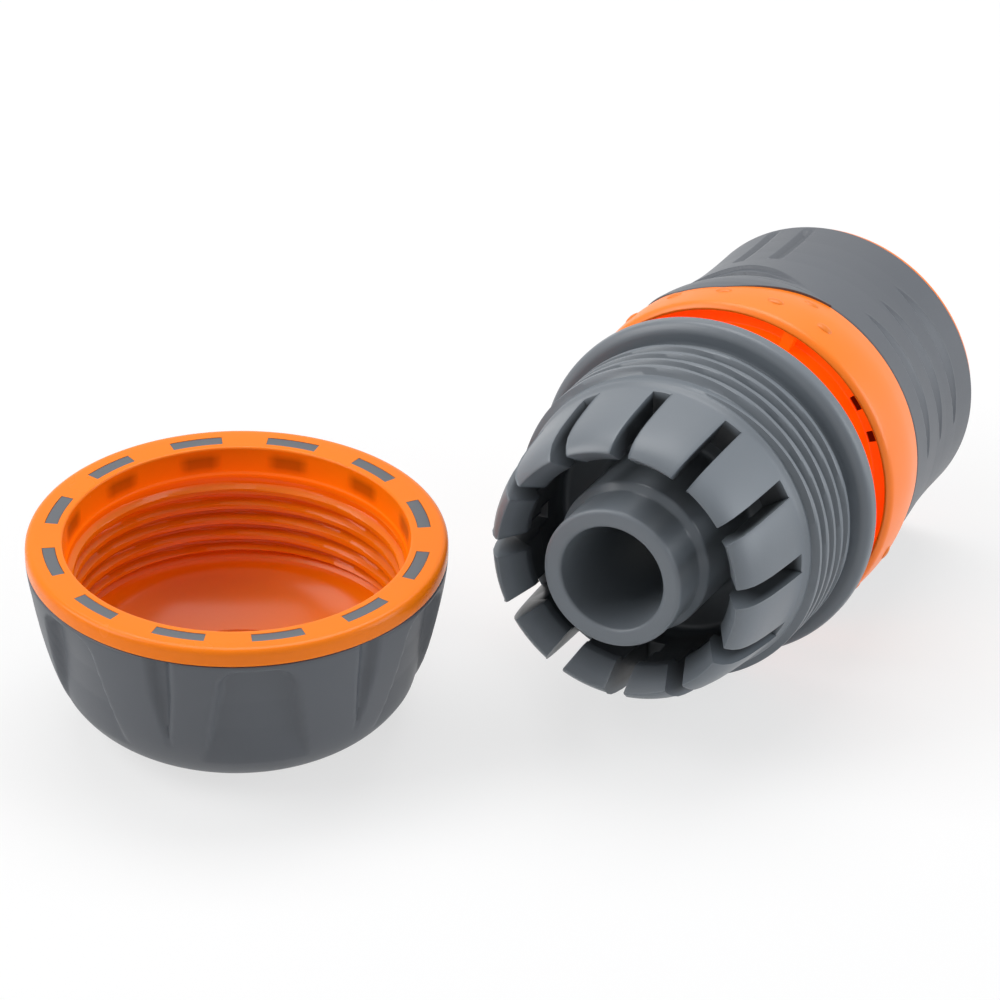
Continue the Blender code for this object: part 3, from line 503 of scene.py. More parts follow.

# Zones of painted glow and painted shade: (low, high, soft edge) of the station, then of the radius
CHANNEL = ((25.9, 28.62, 0.25), (11.0, 15.3, 0.4))
REAR_SLOTS = ((28.6, 33.8, 0.15), (11.7, 14.75, 0.05))
FRONT_SLOTS = ((26.5, 33.0, 0.15), (11.7, 13.08, 0.05))
NUT_THIN_WALL = ((12.0, 18.4, 3.0), (15.0, 15.75, 0.3))
NUT_INSIDE = ((-1.0, 17.4, 3.0), (-1.0, 15.75, 0.15))
NUT_GROOVES = ((6.9, 15.3, 0.3), (15.0, 16.0, 0.3))
BEHIND_KEYS = ((15.4, 17.75, 0.8), (14.5, 15.75, 0.2))
FINGER_POCKET = ((2.0, 15.0, 3.0), (7.6, 20.0, 0.6))

# Width of the keys' painted shadows: (low, high, soft edge) of the cosine of their angle
KEY_WAVE = (-0.1, 3.0, 0.8)

# Painted shade and painted shadows that the zones blend towards
PAINTED_SLOT_SHADE = (0.012, 0.004, 0.001)
PAINTED_PIP_SHADE = (0.74, 0.185, 0.0)
PAINTED_NUT_INSIDE_SHADE = (0.7, 0.17, 0.002)
PAINTED_GROOVE_SHADE = (0.42, 0.085, 0.001)
PAINTED_KEY_SHADOW = (0.2, 0.045, 0.001)
PAINTED_POCKET_SHADE = (0.01, 0.011, 0.012)

# How far they blend, where it isn't the whole way
NUT_INSIDE_SHARE = 0.45
NUT_GROOVE_SHARE = 0.45
KEY_SHARE = 0.7
POCKET_SHARE = 0.8

# Just under the fingers' outer side, where the painted pocket shade starts: radius at the root, how it falls
# towards the tips, and the fade
SKIN_RADIUS = 13.72
SKIN_SLOPE = 0.06
SKIN_CURVE = 0.0085
SKIN_FADE = 0.6


# Painted glow in the bell's channel, and a faint painted glow all round
def painted_glow_in_channel(tree, vector):
    spot = body_spot(tree, vector)
    return shaded(tree, PAINTED_GLOW_ALL_ROUND, zone(tree, spot, *CHANNEL), PAINTED_GLOW_THIN_WALL)


# Painted glow in the nut's thin wall under the rim
def painted_glow_in_nut(tree, vector):
    spot = nut_spot(tree, vector)
    glowing = product(tree, zone(tree, spot, *NUT_THIN_WALL), NUT_PAINTED_GLOW_SHARE)
    return shaded(tree, GLOW_NONE, glowing, PAINTED_GLOW_THIN_WALL)


def paint_shade_in_slots(tree, vector, colour):
    """Painted shade in the slots of the bell's channel, which light hardly reaches, and painted shade on the
    pips.
    """
    spot = body_spot(tree, vector)
    slots = math_node(tree, "MAXIMUM", zone(tree, spot, *REAR_SLOTS), zone(tree, spot, *FRONT_SLOTS))
    pip = node(tree, "ShaderNodeAttribute", attribute_name="pip")
    colour = shaded(tree, colour, pip.outputs["Fac"], PAINTED_PIP_SHADE)
    return shaded(tree, colour, slots, PAINTED_SLOT_SHADE)


def paint_shade_in_nut(tree, vector, colour):
    """Painted shade on the nut's inside and in its grooves, and the keys' painted shadows in its wall."""
    spot = nut_spot(tree, vector)
    inside = product(tree, zone(tree, spot, *NUT_INSIDE), NUT_INSIDE_SHARE)
    colour = shaded(tree, colour, inside, PAINTED_NUT_INSIDE_SHADE)
    grooves = product(tree, zone(tree, spot, *NUT_GROOVES), NUT_GROOVE_SHARE)
    colour = shaded(tree, colour, grooves, PAINTED_GROOVE_SHADE)
    turned = math_node(tree, "SUBTRACT", spot["Angle"], math.radians(KEY_PHASE))
    wave = math_node(tree, "COSINE", product(tree, turned, bpy.context.scene.hose_nut.key_count), 0.0)
    across = inside_range(tree, wave, *KEY_WAVE)
    keys = product(tree, across, zone(tree, spot, *BEHIND_KEYS), KEY_SHARE)
    return shaded(tree, colour, keys, PAINTED_KEY_SHADOW)


def paint_shade_in_finger_pocket(tree, vector, colour):
    """Painted shade in the deep pocket between the fingers and the tail, and on the walls of the slots."""
    spot = body_spot(tree, vector)
    root = bpy.context.scene.hose_body.finger_root
    back = math_node(tree, "MAXIMUM", math_node(tree, "SUBTRACT", root, spot["Station"]), 0.0)
    slope = math_node(tree, "ADD", product(tree, back, SKIN_CURVE), SKIN_SLOPE)
    skin = math_node(tree, "SUBTRACT", SKIN_RADIUS, product(tree, slope, back))
    under = math_node(tree, "SUBTRACT", skin, spot["Radius"])
    deep = math_node(tree, "DIVIDE", under, SKIN_FADE, clamp=True)
    pocket_mask = product(tree, deep, zone(tree, spot, *FINGER_POCKET), POCKET_SHARE)
    return shaded(tree, colour, pocket_mask, PAINTED_POCKET_SHADE)


# The finishes: colour, roughness and its spread, scale and strength of the grain, spread of the tone
FINISHES = {
    "orange_plastic": ("orange", 0.36, 0.05, 2600.0, 0.25, 0.04),
    "orange_glossy": ("orange", 0.24, 0.04, 1800.0, 0.12, 0.04),
    "grey_plastic": ("grey", 0.4, 0.06, 3000.0, 0.3, 0.06),
    "soft_grip": ("soft", 0.44, 0.04, 4200.0, 0.4, 0.05),
    "claw_plastic": ("white", 0.3, 0.05, 2000.0, 0.15, 0.03),
    "seal_rubber": ("rubber", 0.55, 0.08, 4000.0, 0.4, 0.2),
    "spring_steel": ("steel", 0.25, 0.06, 5000.0, 0.2, 0.08),
}

# What some of them have beside that, among it painted shade and a painted glow
FINISH_EXTRAS = {
    "orange_plastic": {"specular": 0.48, "shade": paint_shade_in_slots, "glow": painted_glow_in_channel},
    "orange_glossy": {"specular": 0.22, "shade": paint_shade_in_nut, "glow": painted_glow_in_nut},
    "grey_plastic": {"shade": paint_shade_in_finger_pocket},
    "spring_steel": {"metallic": 1.0},
}


def finish(name):
    """One of the object's finishes, made when it is first asked for."""
    found = bpy.data.materials.get(name)
    if found:
        return found
    colour, *values = FINISHES[name]
    return plastic(name, getattr(bpy.context.scene.hose_finishes, colour), *values,
                   **FINISH_EXTRAS.get(name, {}))


# Connector body

# Front of the piece: clock angle of the first slot, the fingers' outer side from root to tip as (distance
# from the root, fall of the radius), the tooth inside each tip, its front, back and end behind the tip, and
# the pocket round the tail
FINGER_PHASE = -1.8
FINGER_DROP = ((1.2, 0.08), (2.5, 0.2), (4.0, 0.36), (5.5, 0.55), (6.8, 0.8), (7.9, 1.1), (8.75, 1.55),
               (9.3, 2.05))
FINGER_EDGE = 0.16
TIP_RADIUS = 11.65
TOOTH_RADIUS = 10.0
TOOTH_BACK_RADIUS = 10.6
TOOTH_BEHIND_TIP = (2.4, 3.4, 3.7)
POCKET_STEP = (8.0, 8.4)
POCKET_FLOOR = 14.0
BARB_FRONT = 4.4
BARB_BACK = 5.0
BARB_CLEAR = 1.5
BORE_TAPER = (2.5, 9.0)

# Male thread: where its helix starts, its front, the neck in front of that, how far before the flange it
# stops, and its run-in in turns and run-out in millimetres
THREAD_START_ANGLE = -7.0
THREAD_START_STATION = 12.0
THREAD_FRONT = 11.9
THREAD_NECK = (11.05, 11.6)
THREAD_STOP = 0.35
THREAD_RUN_IN = 0.2
THREAD_RUN_OUT = 0.5

# Section of both threads, in pitches: half the ridge's foot, and the width of a flank
RIDGE_HALF = 0.4
RIDGE_FLANK = 0.26

# Rear of the piece: the flange and its chamfer, then radii, and distances from the flange's back, of the
# plug, its seal groove and the coring
FLANGE_THICK = 2.0
FLANGE_CHAMFER = (0.75, 0.5)
PLUG_RADIUS = 7.9
PLUG_LENGTH = 8.8
SEAL_FLOOR = 7.0
SEAL_FRONT = 5.2
SEAL_BACK = 6.8
CORING_INSIDE = 9.7
CORING_OUTSIDE = 12.6
CORING_DEPTH = 6.5


def thread_ridge(share):
    """Height, 0 to 1, of a rounded thread ridge; share is the distance from its crest in pitches."""
    return ease((RIDGE_HALF - abs(share)) / RIDGE_FLANK)


def body_outline(b):
    root = b.thread_root
    face = b.flange_face
    back = face + FLANGE_THICK
    plug = back + PLUG_LENGTH
    tip = b.finger_root - FINGER_DROP[-1][0]
    tooth_front, tooth_back, tooth_end = (tip + behind for behind in TOOTH_BEHIND_TIP)
    return rounded([
        (b.flow_radius, plug, 0.5), (PLUG_RADIUS, plug, 0.3), (PLUG_RADIUS, back + SEAL_BACK, 0.05),
        (SEAL_FLOOR, back + SEAL_BACK, 0.1), (SEAL_FLOOR, back + SEAL_FRONT, 0.1),
        (PLUG_RADIUS, back + SEAL_FRONT, 0.05), (PLUG_RADIUS, back, 0.2), (CORING_INSIDE, back, 0.15),
        (CORING_INSIDE, back - CORING_DEPTH, 0.2), (CORING_OUTSIDE, back - CORING_DEPTH, 0.2),
        (CORING_OUTSIDE, back, 0.15), (b.flange_radius, back, 0.55),
        (b.flange_radius, face + FLANGE_CHAMFER[1], 0.6),
        (b.flange_radius - FLANGE_CHAMFER[0], face + 0.02, 0.3), (root + 0.3, face, 0.12),
        (root, face - 0.08, 0.1),
        *[(root, s) for s in rows(face - 0.25, THREAD_FRONT, THREAD_ROW)],
        (root - 0.02, THREAD_NECK[1], 0.25), (b.finger_radius + 0.05, THREAD_NECK[0], 0.3),
        (b.finger_radius, b.finger_root),
        *[(b.finger_radius - fall, b.finger_root - ahead) for ahead, fall in FINGER_DROP],
        (TIP_RADIUS, tip - 0.1, 0.1), (TOOTH_RADIUS, tooth_front, 0.2), (TOOTH_RADIUS, tooth_back, 0.1),
        (TOOTH_BACK_RADIUS, tooth_end, 0.1), (TOOTH_BACK_RADIUS, POCKET_STEP[0], 0.1),
        (b.pocket_radius, POCKET_STEP[1], 0.1), (b.pocket_radius, b.finger_root),
        (b.pocket_radius, POCKET_FLOOR, 0.6),
        (b.barb_radius, POCKET_FLOOR, 0.6), (b.barb_radius, BARB_BACK, 0.2), (b.tail_radius, BARB_FRONT, 0.2),
        (b.tail_radius + 0.05, 0.0, 0.5), (b.tail_mouth, 0.0, 0.4), (b.tail_mouth - 0.15, BORE_TAPER[0], 1.2),
        (b.flow_radius, BORE_TAPER[1], 2.0)], 5)


def in_fingers(b, co):
    """True outside the pocket round the tail, where the fingers are."""
    return radius_of(co) > b.barb_radius + BARB_CLEAR


def open_slots(bm, b):
    """Cuts the slots between the fingers and closes their walls and floors."""
    count = b.finger_count
    sector = 360.0 / count
    slot_angle = math.degrees(math.asin(b.finger_slot / 2 / b.finger_radius))
    half_steps = round(slot_angle / TURN_STEP - 0.01) + 0.5
    nominal = half_steps * TURN_STEP
    root = b.finger_root

    def offset(co):
        """Angle from the middle of the nearest slot."""
        return off_nearest(angle_of(co), count, FINGER_PHASE)

    gone = []
    for face in bm.faces:
        middle = face.calc_center_median()
        if middle.z < root - LEVEL and in_fingers(b, middle) and abs(offset(middle)) < nominal:
            gone.append(face)
    bmesh.ops.delete(bm, geom=gone, context="FACES")
    rim = {}
    for vert in bm.verts:
        at_root = abs(vert.co.z - root) < LEVEL and in_fingers(b, vert.co)
        if at_root and abs(offset(vert.co)) < nominal + 0.1 * TURN_STEP:
            slot_number = round((angle_of(vert.co) - FINGER_PHASE) / sector) % count
            spot = round((offset(vert.co) + nominal) / TURN_STEP)
            outer = radius_of(vert.co) > (b.finger_radius + b.pocket_radius) / 2
            rim[slot_number, spot, outer] = vert
    spots = round(2 * half_steps)
    for k in range(count):
        bars = [bm.edges.new((rim[k, n, True], rim[k, n, False])) for n in range(spots + 1)]
        for n in range(spots):
            bm.faces.new((rim[k, n, True], rim[k, n, False], rim[k, n + 1, False], rim[k, n + 1, True]))
        for bar in (bars[0], bars[-1]):
            bm.faces.new(wall_loop(bar, root))
    for vert in bm.verts:
        if vert.co.z <= root + LEVEL and in_fingers(b, vert.co):
            place = offset(vert.co)
            open_half = math.degrees(math.asin(b.finger_slot / 2 / radius_of(vert.co)))
            if abs(place) <= nominal:
                moved = place * open_half / nominal
            else:
                share = (abs(place) - nominal) / (sector / 2 - nominal)
                moved = math.copysign(open_half + share * (sector / 2 - open_half), place)
            vert.co = Matrix.Rotation(math.radians(moved - place), 3, "Z") @ vert.co


def wall_loop(bar, root):
    """Follows the open border from one end of a bar to the other, along the side of a finger."""
    start, goal = bar.verts
    loop = [start]
    here, used = start, bar
    while here is not goal:
        for edge in here.link_edges:
            other = edge.other_vert(here)
            if edge is not used and len(edge.link_faces) == 1 and other.co.z < root - LEVEL:
                break
            if edge is not used and other is goal and edge.is_boundary and here.co.z < root - LEVEL:
                break
        else:
            raise RuntimeError("the side of a finger has no border")
        here, used = edge.other_vert(here), edge
        loop.append(here)
    return loop


def build_connector_body(b):
    bm = bmesh.new()
    turn(bm, body_outline(b), start=FINGER_PHASE + TURN_STEP / 2)
    bmesh.ops.remove_doubles(bm, verts=bm.verts, dist=WELD)
    open_slots(bm, b)
    bevel_sharp(bm, FINGER_EDGE, lambda co: co.z < b.finger_root + NEAR and in_fingers(b, co))
    last = b.flange_face - THREAD_STOP

    def thread(angle, station, radius):
        turns = (angle - THREAD_START_ANGLE) % 360.0 / 360.0
        ahead = (station - THREAD_START_STATION) / b.thread_pitch - turns
        ridge = round(ahead)
        run_in = ease((ridge + turns) / THREAD_RUN_IN) if ridge >= 0 else 0.0
        run_out = ease((last - station) / THREAD_RUN_OUT)
        return radius + b.thread_height * thread_ridge(ahead - ridge) * run_in * run_out

    def on_thread(radius, station):
        return THREAD_FRONT < station < last + 0.1 and abs(radius - b.thread_root) < NEAR

    carve(bm, on_thread, thread)
    finish_piece("connector_body_moulding", bm, body_place(), finish("grey_plastic"), "connector",
                 ["connector_body"])


# Release sleeve

# Clock angles of the thumb scoop, the channel's slots and the channel's ribs; each also stands opposite. Then
# the slots' (stations from their face), (radii) and depth, and the ribs' section as (radius, station)
SCOOP_ANGLE = -19.5
SLOT_ANGLE = 61.3
SLOT_SPREAD = 7.4
REAR_SLOT = ((-0.15, 0.2), (13.3, 14.7), 4.8)
FRONT_SLOT = ((0.0, 0.4), (11.8, 12.97), 6.0)
RIB_ANGLE = 18.7
RIB_HALF = 2.2
RIB_COUNT = 4
RIB_SECTION = ((13.0, 27.1), (15.0, 27.1), (15.0, 29.0), (13.0, 29.0))
BOTH_SIDES = (0.0, 180.0)

# The pips: (row, place across the scoop in pitches), then their first row, their pitches and their shape
PIPS = ((0, -2.5), (0, -1.5), (0, -0.5), (0, 0.5), (0, 1.5), (0, 2.5), (1, -2.0), (1, 2.0))
PIP_STATION = 29.3
PIP_ROW = 2.6
PIP_FALL = 0.3
PIP_PITCH = 18.5
PIP_SINK = 0.4
PIP_SIZE = (0.95, 0.6)
PIP_FLATNESS = 1.35

# The collar: its bell as (radius, station or distance behind its front, rounding), its tube, its rear rim,
# the channel in the bell, the spring's bore, the sliding land and the mouth of the cone behind it
BELL_BACK = 15.32
BELL_SIDE = ((15.62, 32.6, 0.6), (15.88, 31.3, 1.0))
BELL_RIM = ((15.93, 0.5, 0.75), (15.4, -0.02, 0.3), (15.12, 0.3, 0.2))
TUBE_INSIDE = 12.72
TUBE_RADIUS = 12.8
TUBE_STEP = (44.4, 44.5)
RIM_RADIUS = 13.3
RIM_WIDTH = 0.82
CHANNEL_INSIDE = 13.15
CHANNEL_OUTSIDE = 14.65
CHANNEL_FLOOR = 28.5
SPRING_BORE = 11.6
LAND_RADIUS = 10.05
LAND_FRONT = 38.0
LAND_BACK = 41.7
CONE_MOUTH = 10.95

# Edge of the thumb scoop: degrees from its middle, and how far it reaches past the seam
SCOOP_EDGE = ((0.0, 4.6), (4.3, 4.45), (8.0, 4.15), (13.0, 3.7), (17.0, 3.2), (23.5, 2.2), (29.5, 1.25),
              (36.0, 0.5), (40.0, -0.1))
SCOOP_HALF = SCOOP_EDGE[-1][0]
SCOOP_DEPTH = ((0.0, -0.18), (1.0, 0.04), (2.0, 0.36), (2.8, 0.72), (5.0, 0.8))
SCOOP_FADE = 12.0
TERRACE_WIDTH = 1.2
TERRACE_SHARE = 0.45
TERRACE_WALLS = (0.16, 0.18)

# Front edge of the soft tongue in the scoop: degrees from its middle, and how far it covers the bell;
# then its top: stations and radii
TONGUE_EDGE = ((0.0, 4.0), (8.0, 3.95), (12.0, 3.6), (16.0, 3.1), (20.0, 2.5), (25.0, 1.7), (30.0, 1.0),
               (35.0, 0.5), (40.0, 0.15), (42.0, 0.05))
TONGUE_TOP = ((30.0, 16.07), (31.3, 16.04), (32.6, 15.86), (33.4, 15.68), (34.0, 15.5))
TONGUE_LENGTH = 4.0
TONGUE_INSIDE = 14.9
TONGUE_SKIN = 0.07
TONGUE_ROW = 0.2
TONGUE_STEPS = 84

# The soft grip's outside as (distance behind the seam, radius), its gap to the collar, the width of its
# chamfers, the radius of its rear end and the step in its inside
GRIP_FALL = ((0.0, BELL_BACK), (2.0, 15.1), (4.0, 14.88), (6.5, 14.6), (9.0, 14.42), (12.0, 14.3),
             (16.5, 14.25))
GRIP_GAP = 0.04
GRIP_EDGE = 0.12
GRIP_END_RADIUS = 14.1
GRIP_STEP = (44.2, 44.3)

# The two short grooves behind the scoop: stations, how they fade in and out, half their width, the width of
# their walls, turn from the scoop's middle and half their spread
GROOVE_START = 40.7
GROOVE_END = 49.4
GROOVE_FADE = (0.3, 1.5)
GROOVE_HALF = 0.52
GROOVE_WALL = 0.14
GROOVE_TURN = 1.4
GROOVE_SPREAD = 7.3
MM_PER_DEGREE = 0.25

# The crescents: stations of their tips, how far their rear and front edges bow out, their angle and half
# their span, the height, width and share of fading at the tips of their fine lip, the width of their wall,
# and how far past their rear and front edges they are worked out
CRESCENTS = (37.35, 41.25, 45.1)
CRESCENT_REAR = 0.95
CRESCENT_FRONT = 0.65
CRESCENT_ANGLE = 62.0
CRESCENT_HALF = 30.5
CRESCENT_LIP = 0.07
CRESCENT_LIP_WIDTH = 0.22
CRESCENT_TIP = 0.15
CRESCENT_WALL = 0.16
CRESCENT_REACH = (0.25, 0.05)


def build_collar(z):
    bell = z.bell_radius
    front = z.bell_front
    step = front + 0.15
    rim_front = z.end - RIM_WIDTH
    back = z.seam - 0.05
    outline = rounded([
        (TUBE_INSIDE, z.end, 0.1), (z.rear_radius, z.end, 0.35), (z.rear_radius, rim_front, 0.12),
        (RIM_RADIUS, rim_front, 0.1), (RIM_RADIUS, TUBE_STEP[1]), (TUBE_RADIUS, TUBE_STEP[0]),
        (TUBE_RADIUS, back, 0.05), (BELL_BACK, back, 0.1), *BELL_SIDE, (bell, 30.0, 0.8),
        (bell + 0.02, 28.4, 0.8), *[(radius, front + behind, edge) for radius, behind, edge in BELL_RIM],
        (14.85, 27.4, 0.4), (CHANNEL_OUTSIDE, CHANNEL_FLOOR, 0.2),
        (CHANNEL_INSIDE, CHANNEL_FLOOR, 0.25), (CHANNEL_INSIDE, step, 0.2), (SPRING_BORE, step, 0.2),
        (SPRING_BORE, LAND_FRONT), (LAND_RADIUS, LAND_FRONT, 0.1), (LAND_RADIUS, LAND_BACK, 0.1),
        (CONE_MOUTH, LAND_BACK)], 5)
    bm = bmesh.new()
    # Marks the pips for their painted shade
    pip_mark = bm.verts.layers.float.new("pip")
    turn(bm, outline)

    def slot(centre, face, stations, radii, depth):
        """Sinks a slot of three steps' width backwards from a face across the axis."""
        pocket(bm, lambda co: stations[0] < co.z - face < stations[1] and radii[0] < radius_of(co) < radii[1]
               and abs(angle_from(angle_of(co), centre)) < 1.6 * TURN_STEP, (0, 0, depth))

    for side in BOTH_SIDES:
        for spread in (-SLOT_SPREAD, SLOT_SPREAD):
            centre = SLOT_ANGLE + side + spread
            slot(centre, CHANNEL_FLOOR, *REAR_SLOT)
            slot(centre, front, *FRONT_SLOT)
    for k in range(RIB_COUNT):
        middle = RIB_ANGLE + 360.0 * k / RIB_COUNT
        sweep(bm, RIB_SECTION, middle - RIB_HALF, middle + RIB_HALF, 4)
    for side in BOTH_SIDES:
        for row, across in PIPS:
            surface = bell - PIP_FALL * row
            spot = (Matrix.Rotation(math.radians(SCOOP_ANGLE + side + across * PIP_PITCH), 4, "Z")
                    @ Matrix.Translation((surface - PIP_SINK, 0, PIP_STATION + PIP_ROW * row))
                    @ Matrix.Diagonal((z.pip_height + PIP_SINK, *PIP_SIZE, 1.0))
                    @ Matrix.Rotation(math.pi / 2, 4, "Y"))
            pip = bmesh.ops.create_uvsphere(bm, u_segments=32, v_segments=16, radius=1.0)["verts"]
            for vert in pip:
                vert.co *= PIP_FLATNESS ** (1.0 - max(abs(part) for part in vert.co))
                vert[pip_mark] = 1.0
            bmesh.ops.transform(bm, matrix=spot, verts=pip)
    finish_piece("release_collar_moulding", bm, body_place(), finish("orange_plastic"), "sleeve",
                 ["release_collar"])


def scoop_cut(angle, station, seam):
    """Depth of the thumb scoops: a band that deepens behind the seam, with a terrace inside its edge."""
    off = min(abs(angle_from(angle, SCOOP_ANGLE + side)) for side in BOTH_SIDES)
    if off > SCOOP_HALF:
        return 0.0
    along = station - seam
    edge = between(off, SCOOP_EDGE)
    inside = edge - along
    band = between(along, SCOOP_DEPTH)
    raised = min(band, 0.0) * ease((SCOOP_HALF - off) / SCOOP_FADE)
    terrace = TERRACE_WIDTH * max(edge, 0.0) / SCOOP_EDGE[0][1]
    outer, inner = ease(inside / TERRACE_WALLS[0]), ease((inside - terrace) / TERRACE_WALLS[1])
    steps = TERRACE_SHARE * outer + (1.0 - TERRACE_SHARE) * inner
    return max(band, 0.0) * steps + raised if inside > 0.0 else 0.0


def groove_cut(angle, station, depth):
    """Depth of the short grooves, which start steeply and fade out towards the rear."""
    ends = (ease((station - GROOVE_START) / GROOVE_FADE[0])
            * ease((GROOVE_END - station) / GROOVE_FADE[1]))
    cut = 0.0
    for side in BOTH_SIDES:
        for spread in (-GROOVE_SPREAD, GROOVE_SPREAD):
            off = abs(angle_from(angle, SCOOP_ANGLE + GROOVE_TURN + side + spread)) * MM_PER_DEGREE
            cut = max(cut, depth * ease((GROOVE_HALF - off) / GROOVE_WALL) * ends)
    return cut


def crescent_cut(angle, station, depth):
    """Shallow crescents: a small step down at the front edge, a slope up to a fine lip at the rear edge."""
    for side in BOTH_SIDES:
        share = abs(angle_from(angle, CRESCENT_ANGLE + side)) / CRESCENT_HALF
        if share >= 1.0:
            continue
        open_part = 1.0 - share ** 2
        for tip in CRESCENTS:
            width = (CRESCENT_REAR + CRESCENT_FRONT) * open_part
            behind = tip + CRESCENT_REAR * open_part - station
            if -CRESCENT_REACH[0] < behind < width + CRESCENT_REACH[1]:
                lip = (CRESCENT_LIP * ease(1.0 - abs(behind) / CRESCENT_LIP_WIDTH)
                       * ease(open_part / CRESCENT_TIP))
                slope = max(behind, 0.0) / width
                wall = ease((width - behind) / CRESCENT_WALL)
                return depth * open_part ** 0.5 * slope * wall - lip
    return 0.0


def add_tongue(bm, z, middle):
    """Thin soft skin that reaches forward over the bell in front of a scoop."""
    half = TONGUE_EDGE[-1][0]
    front = z.seam - TONGUE_LENGTH
    outer = [(z.bell_radius + TONGUE_SKIN if s < TONGUE_TOP[0][0] else between(s, TONGUE_TOP), s)
             for s in [front] + rows(front, z.seam, TONGUE_ROW)]
    outline = rounded([(TONGUE_INSIDE, z.seam), (TONGUE_INSIDE, front), (*outer[0], 0.12), *outer[1:]], 3)
    known = len(bm.verts)
    sweep(bm, outline, middle - half, middle + half, TONGUE_STEPS)
    for vert in list(bm.verts)[known:]:
        reach = between(abs(angle_from(angle_of(vert.co), middle)), TONGUE_EDGE)
        station = z.seam - (z.seam - vert.co.z) * reach / TONGUE_LENGTH
        radius = radius_of(vert.co)
        if radius > TONGUE_INSIDE + 0.1:
            old, new = between(vert.co.z, TONGUE_TOP), between(station, TONGUE_TOP)
            vert.co.x *= (radius - old + new) / radius
            vert.co.y *= (radius - old + new) / radius
        vert.co.z = station


def build_sleeve_grip(z):
    seam = z.seam + GRIP_GAP
    end = z.end - RIM_WIDTH - GRIP_GAP
    stations = [seam + GRIP_EDGE] + rows(seam + GRIP_EDGE, end - GRIP_EDGE, CARVE_ROW)
    outer = [(between(s - z.seam, GRIP_FALL), s) for s in stations]
    inside, rear_inside = TUBE_RADIUS + GRIP_GAP, RIM_RADIUS + GRIP_GAP / 2
    outline = [(rear_inside, end), (GRIP_END_RADIUS, end), *reversed(outer), (BELL_BACK - GRIP_EDGE, seam),
               (inside, seam), (inside, GRIP_STEP[0]), (rear_inside, GRIP_STEP[1])]
    bm = bmesh.new()
    turn(bm, outline, CARVE_STEPS)

    def surface(angle, station, radius):
        cut = scoop_cut(angle, station, z.seam)
        if cut == 0.0:
            cut = groove_cut(angle, station, z.groove_depth) + crescent_cut(angle, station, z.crescent_depth)
        return radius - cut

    carve(bm, lambda radius, station: radius > GRIP_END_RADIUS - 0.2 and station < end - 0.05, surface)
    for side in BOTH_SIDES:
        add_tongue(bm, z, SCOOP_ANGLE + side)
    finish_piece("sleeve_grip_moulding", bm, body_place(), finish("soft_grip"), "sleeve", ["sleeve_grip"],
                 sharp=60.0)


# Socket, claws, seal and spring

# The socket: radii, and stations of its ribs; windows of the locking claws: stations, and the first angle
SOCKET_BORE = 8.15
SOCKET_RADIUS = 9.7
SOCKET_LIP = 11.9
SOCKET_FRONT = 22.5
SOCKET_BACK = 50.2
SOCKET_LIP_FRONT = (48.5, 48.8)
SPRING_SEAT = (25.6, 27.2, 11.3)
SLEEVE_STOP = (42.0, 43.4, 10.6)
CLAW_COUNT = 4
CLAW_WINDOW = (43.8, 47.6)
CLAW_WINDOW_HALF = 17.0
CLAW_ANGLE = 22.5

# The spring: stations of its ends, turns, steps in a turn, radius, wire and rise of a closed turn
SPRING_ENDS = (27.75, 37.45)
SPRING_TURNS = 5.5
SPRING_STEPS = 36
SPRING_RADIUS = 10.5
SPRING_WIRE = 0.4
CLOSED_RISE = 0.9


def build_socket():
    low, high = CLAW_WINDOW
    bore, radius = SOCKET_BORE, SOCKET_RADIUS
    lip_front, lip_edge = SOCKET_LIP_FRONT
    outline = [(bore, SOCKET_BACK, 0.7), (SOCKET_LIP, SOCKET_BACK, 0.3), (SOCKET_LIP, lip_edge, 0.2),
               (SOCKET_LIP - 0.5, lip_front, 0.1), (radius, lip_front, 0.1), (radius, high), (radius, low)]
    for front, back, top in (SLEEVE_STOP, SPRING_SEAT):
        outline += [(radius, back, 0.1), (top, back, 0.15), (top, front, 0.15), (radius, front, 0.1)]
    outline += [(radius, SOCKET_FRONT, 0.15), (bore, SOCKET_FRONT, 0.15), (bore, low), (bore, high)]
    bm = bmesh.new()
    turn(bm, rounded(outline, 4))
    for k in range(CLAW_COUNT):
        middle = CLAW_ANGLE + 360.0 * k / CLAW_COUNT

        def in_window(co):
            off = abs(angle_from(angle_of(co), middle))
            return low - NEAR < co.z < high + NEAR and off < CLAW_WINDOW_HALF

        faces = [face for face in bm.faces if in_window(face.calc_center_median())]
        rim = [edge for edge in {edge for face in faces for edge in face.edges}
               if sum(face in faces for face in edge.link_faces) == 1]
        bmesh.ops.delete(bm, geom=faces, context="FACES_ONLY")
        bmesh.ops.bridge_loops(bm, edges=rim)
    bmesh.ops.delete(bm, geom=[edge for edge in bm.edges if not edge.link_faces], context="EDGES")
    finish_piece("socket_moulding", bm, body_place(), finish("grey_plastic"), "connector", ["socket_core"])


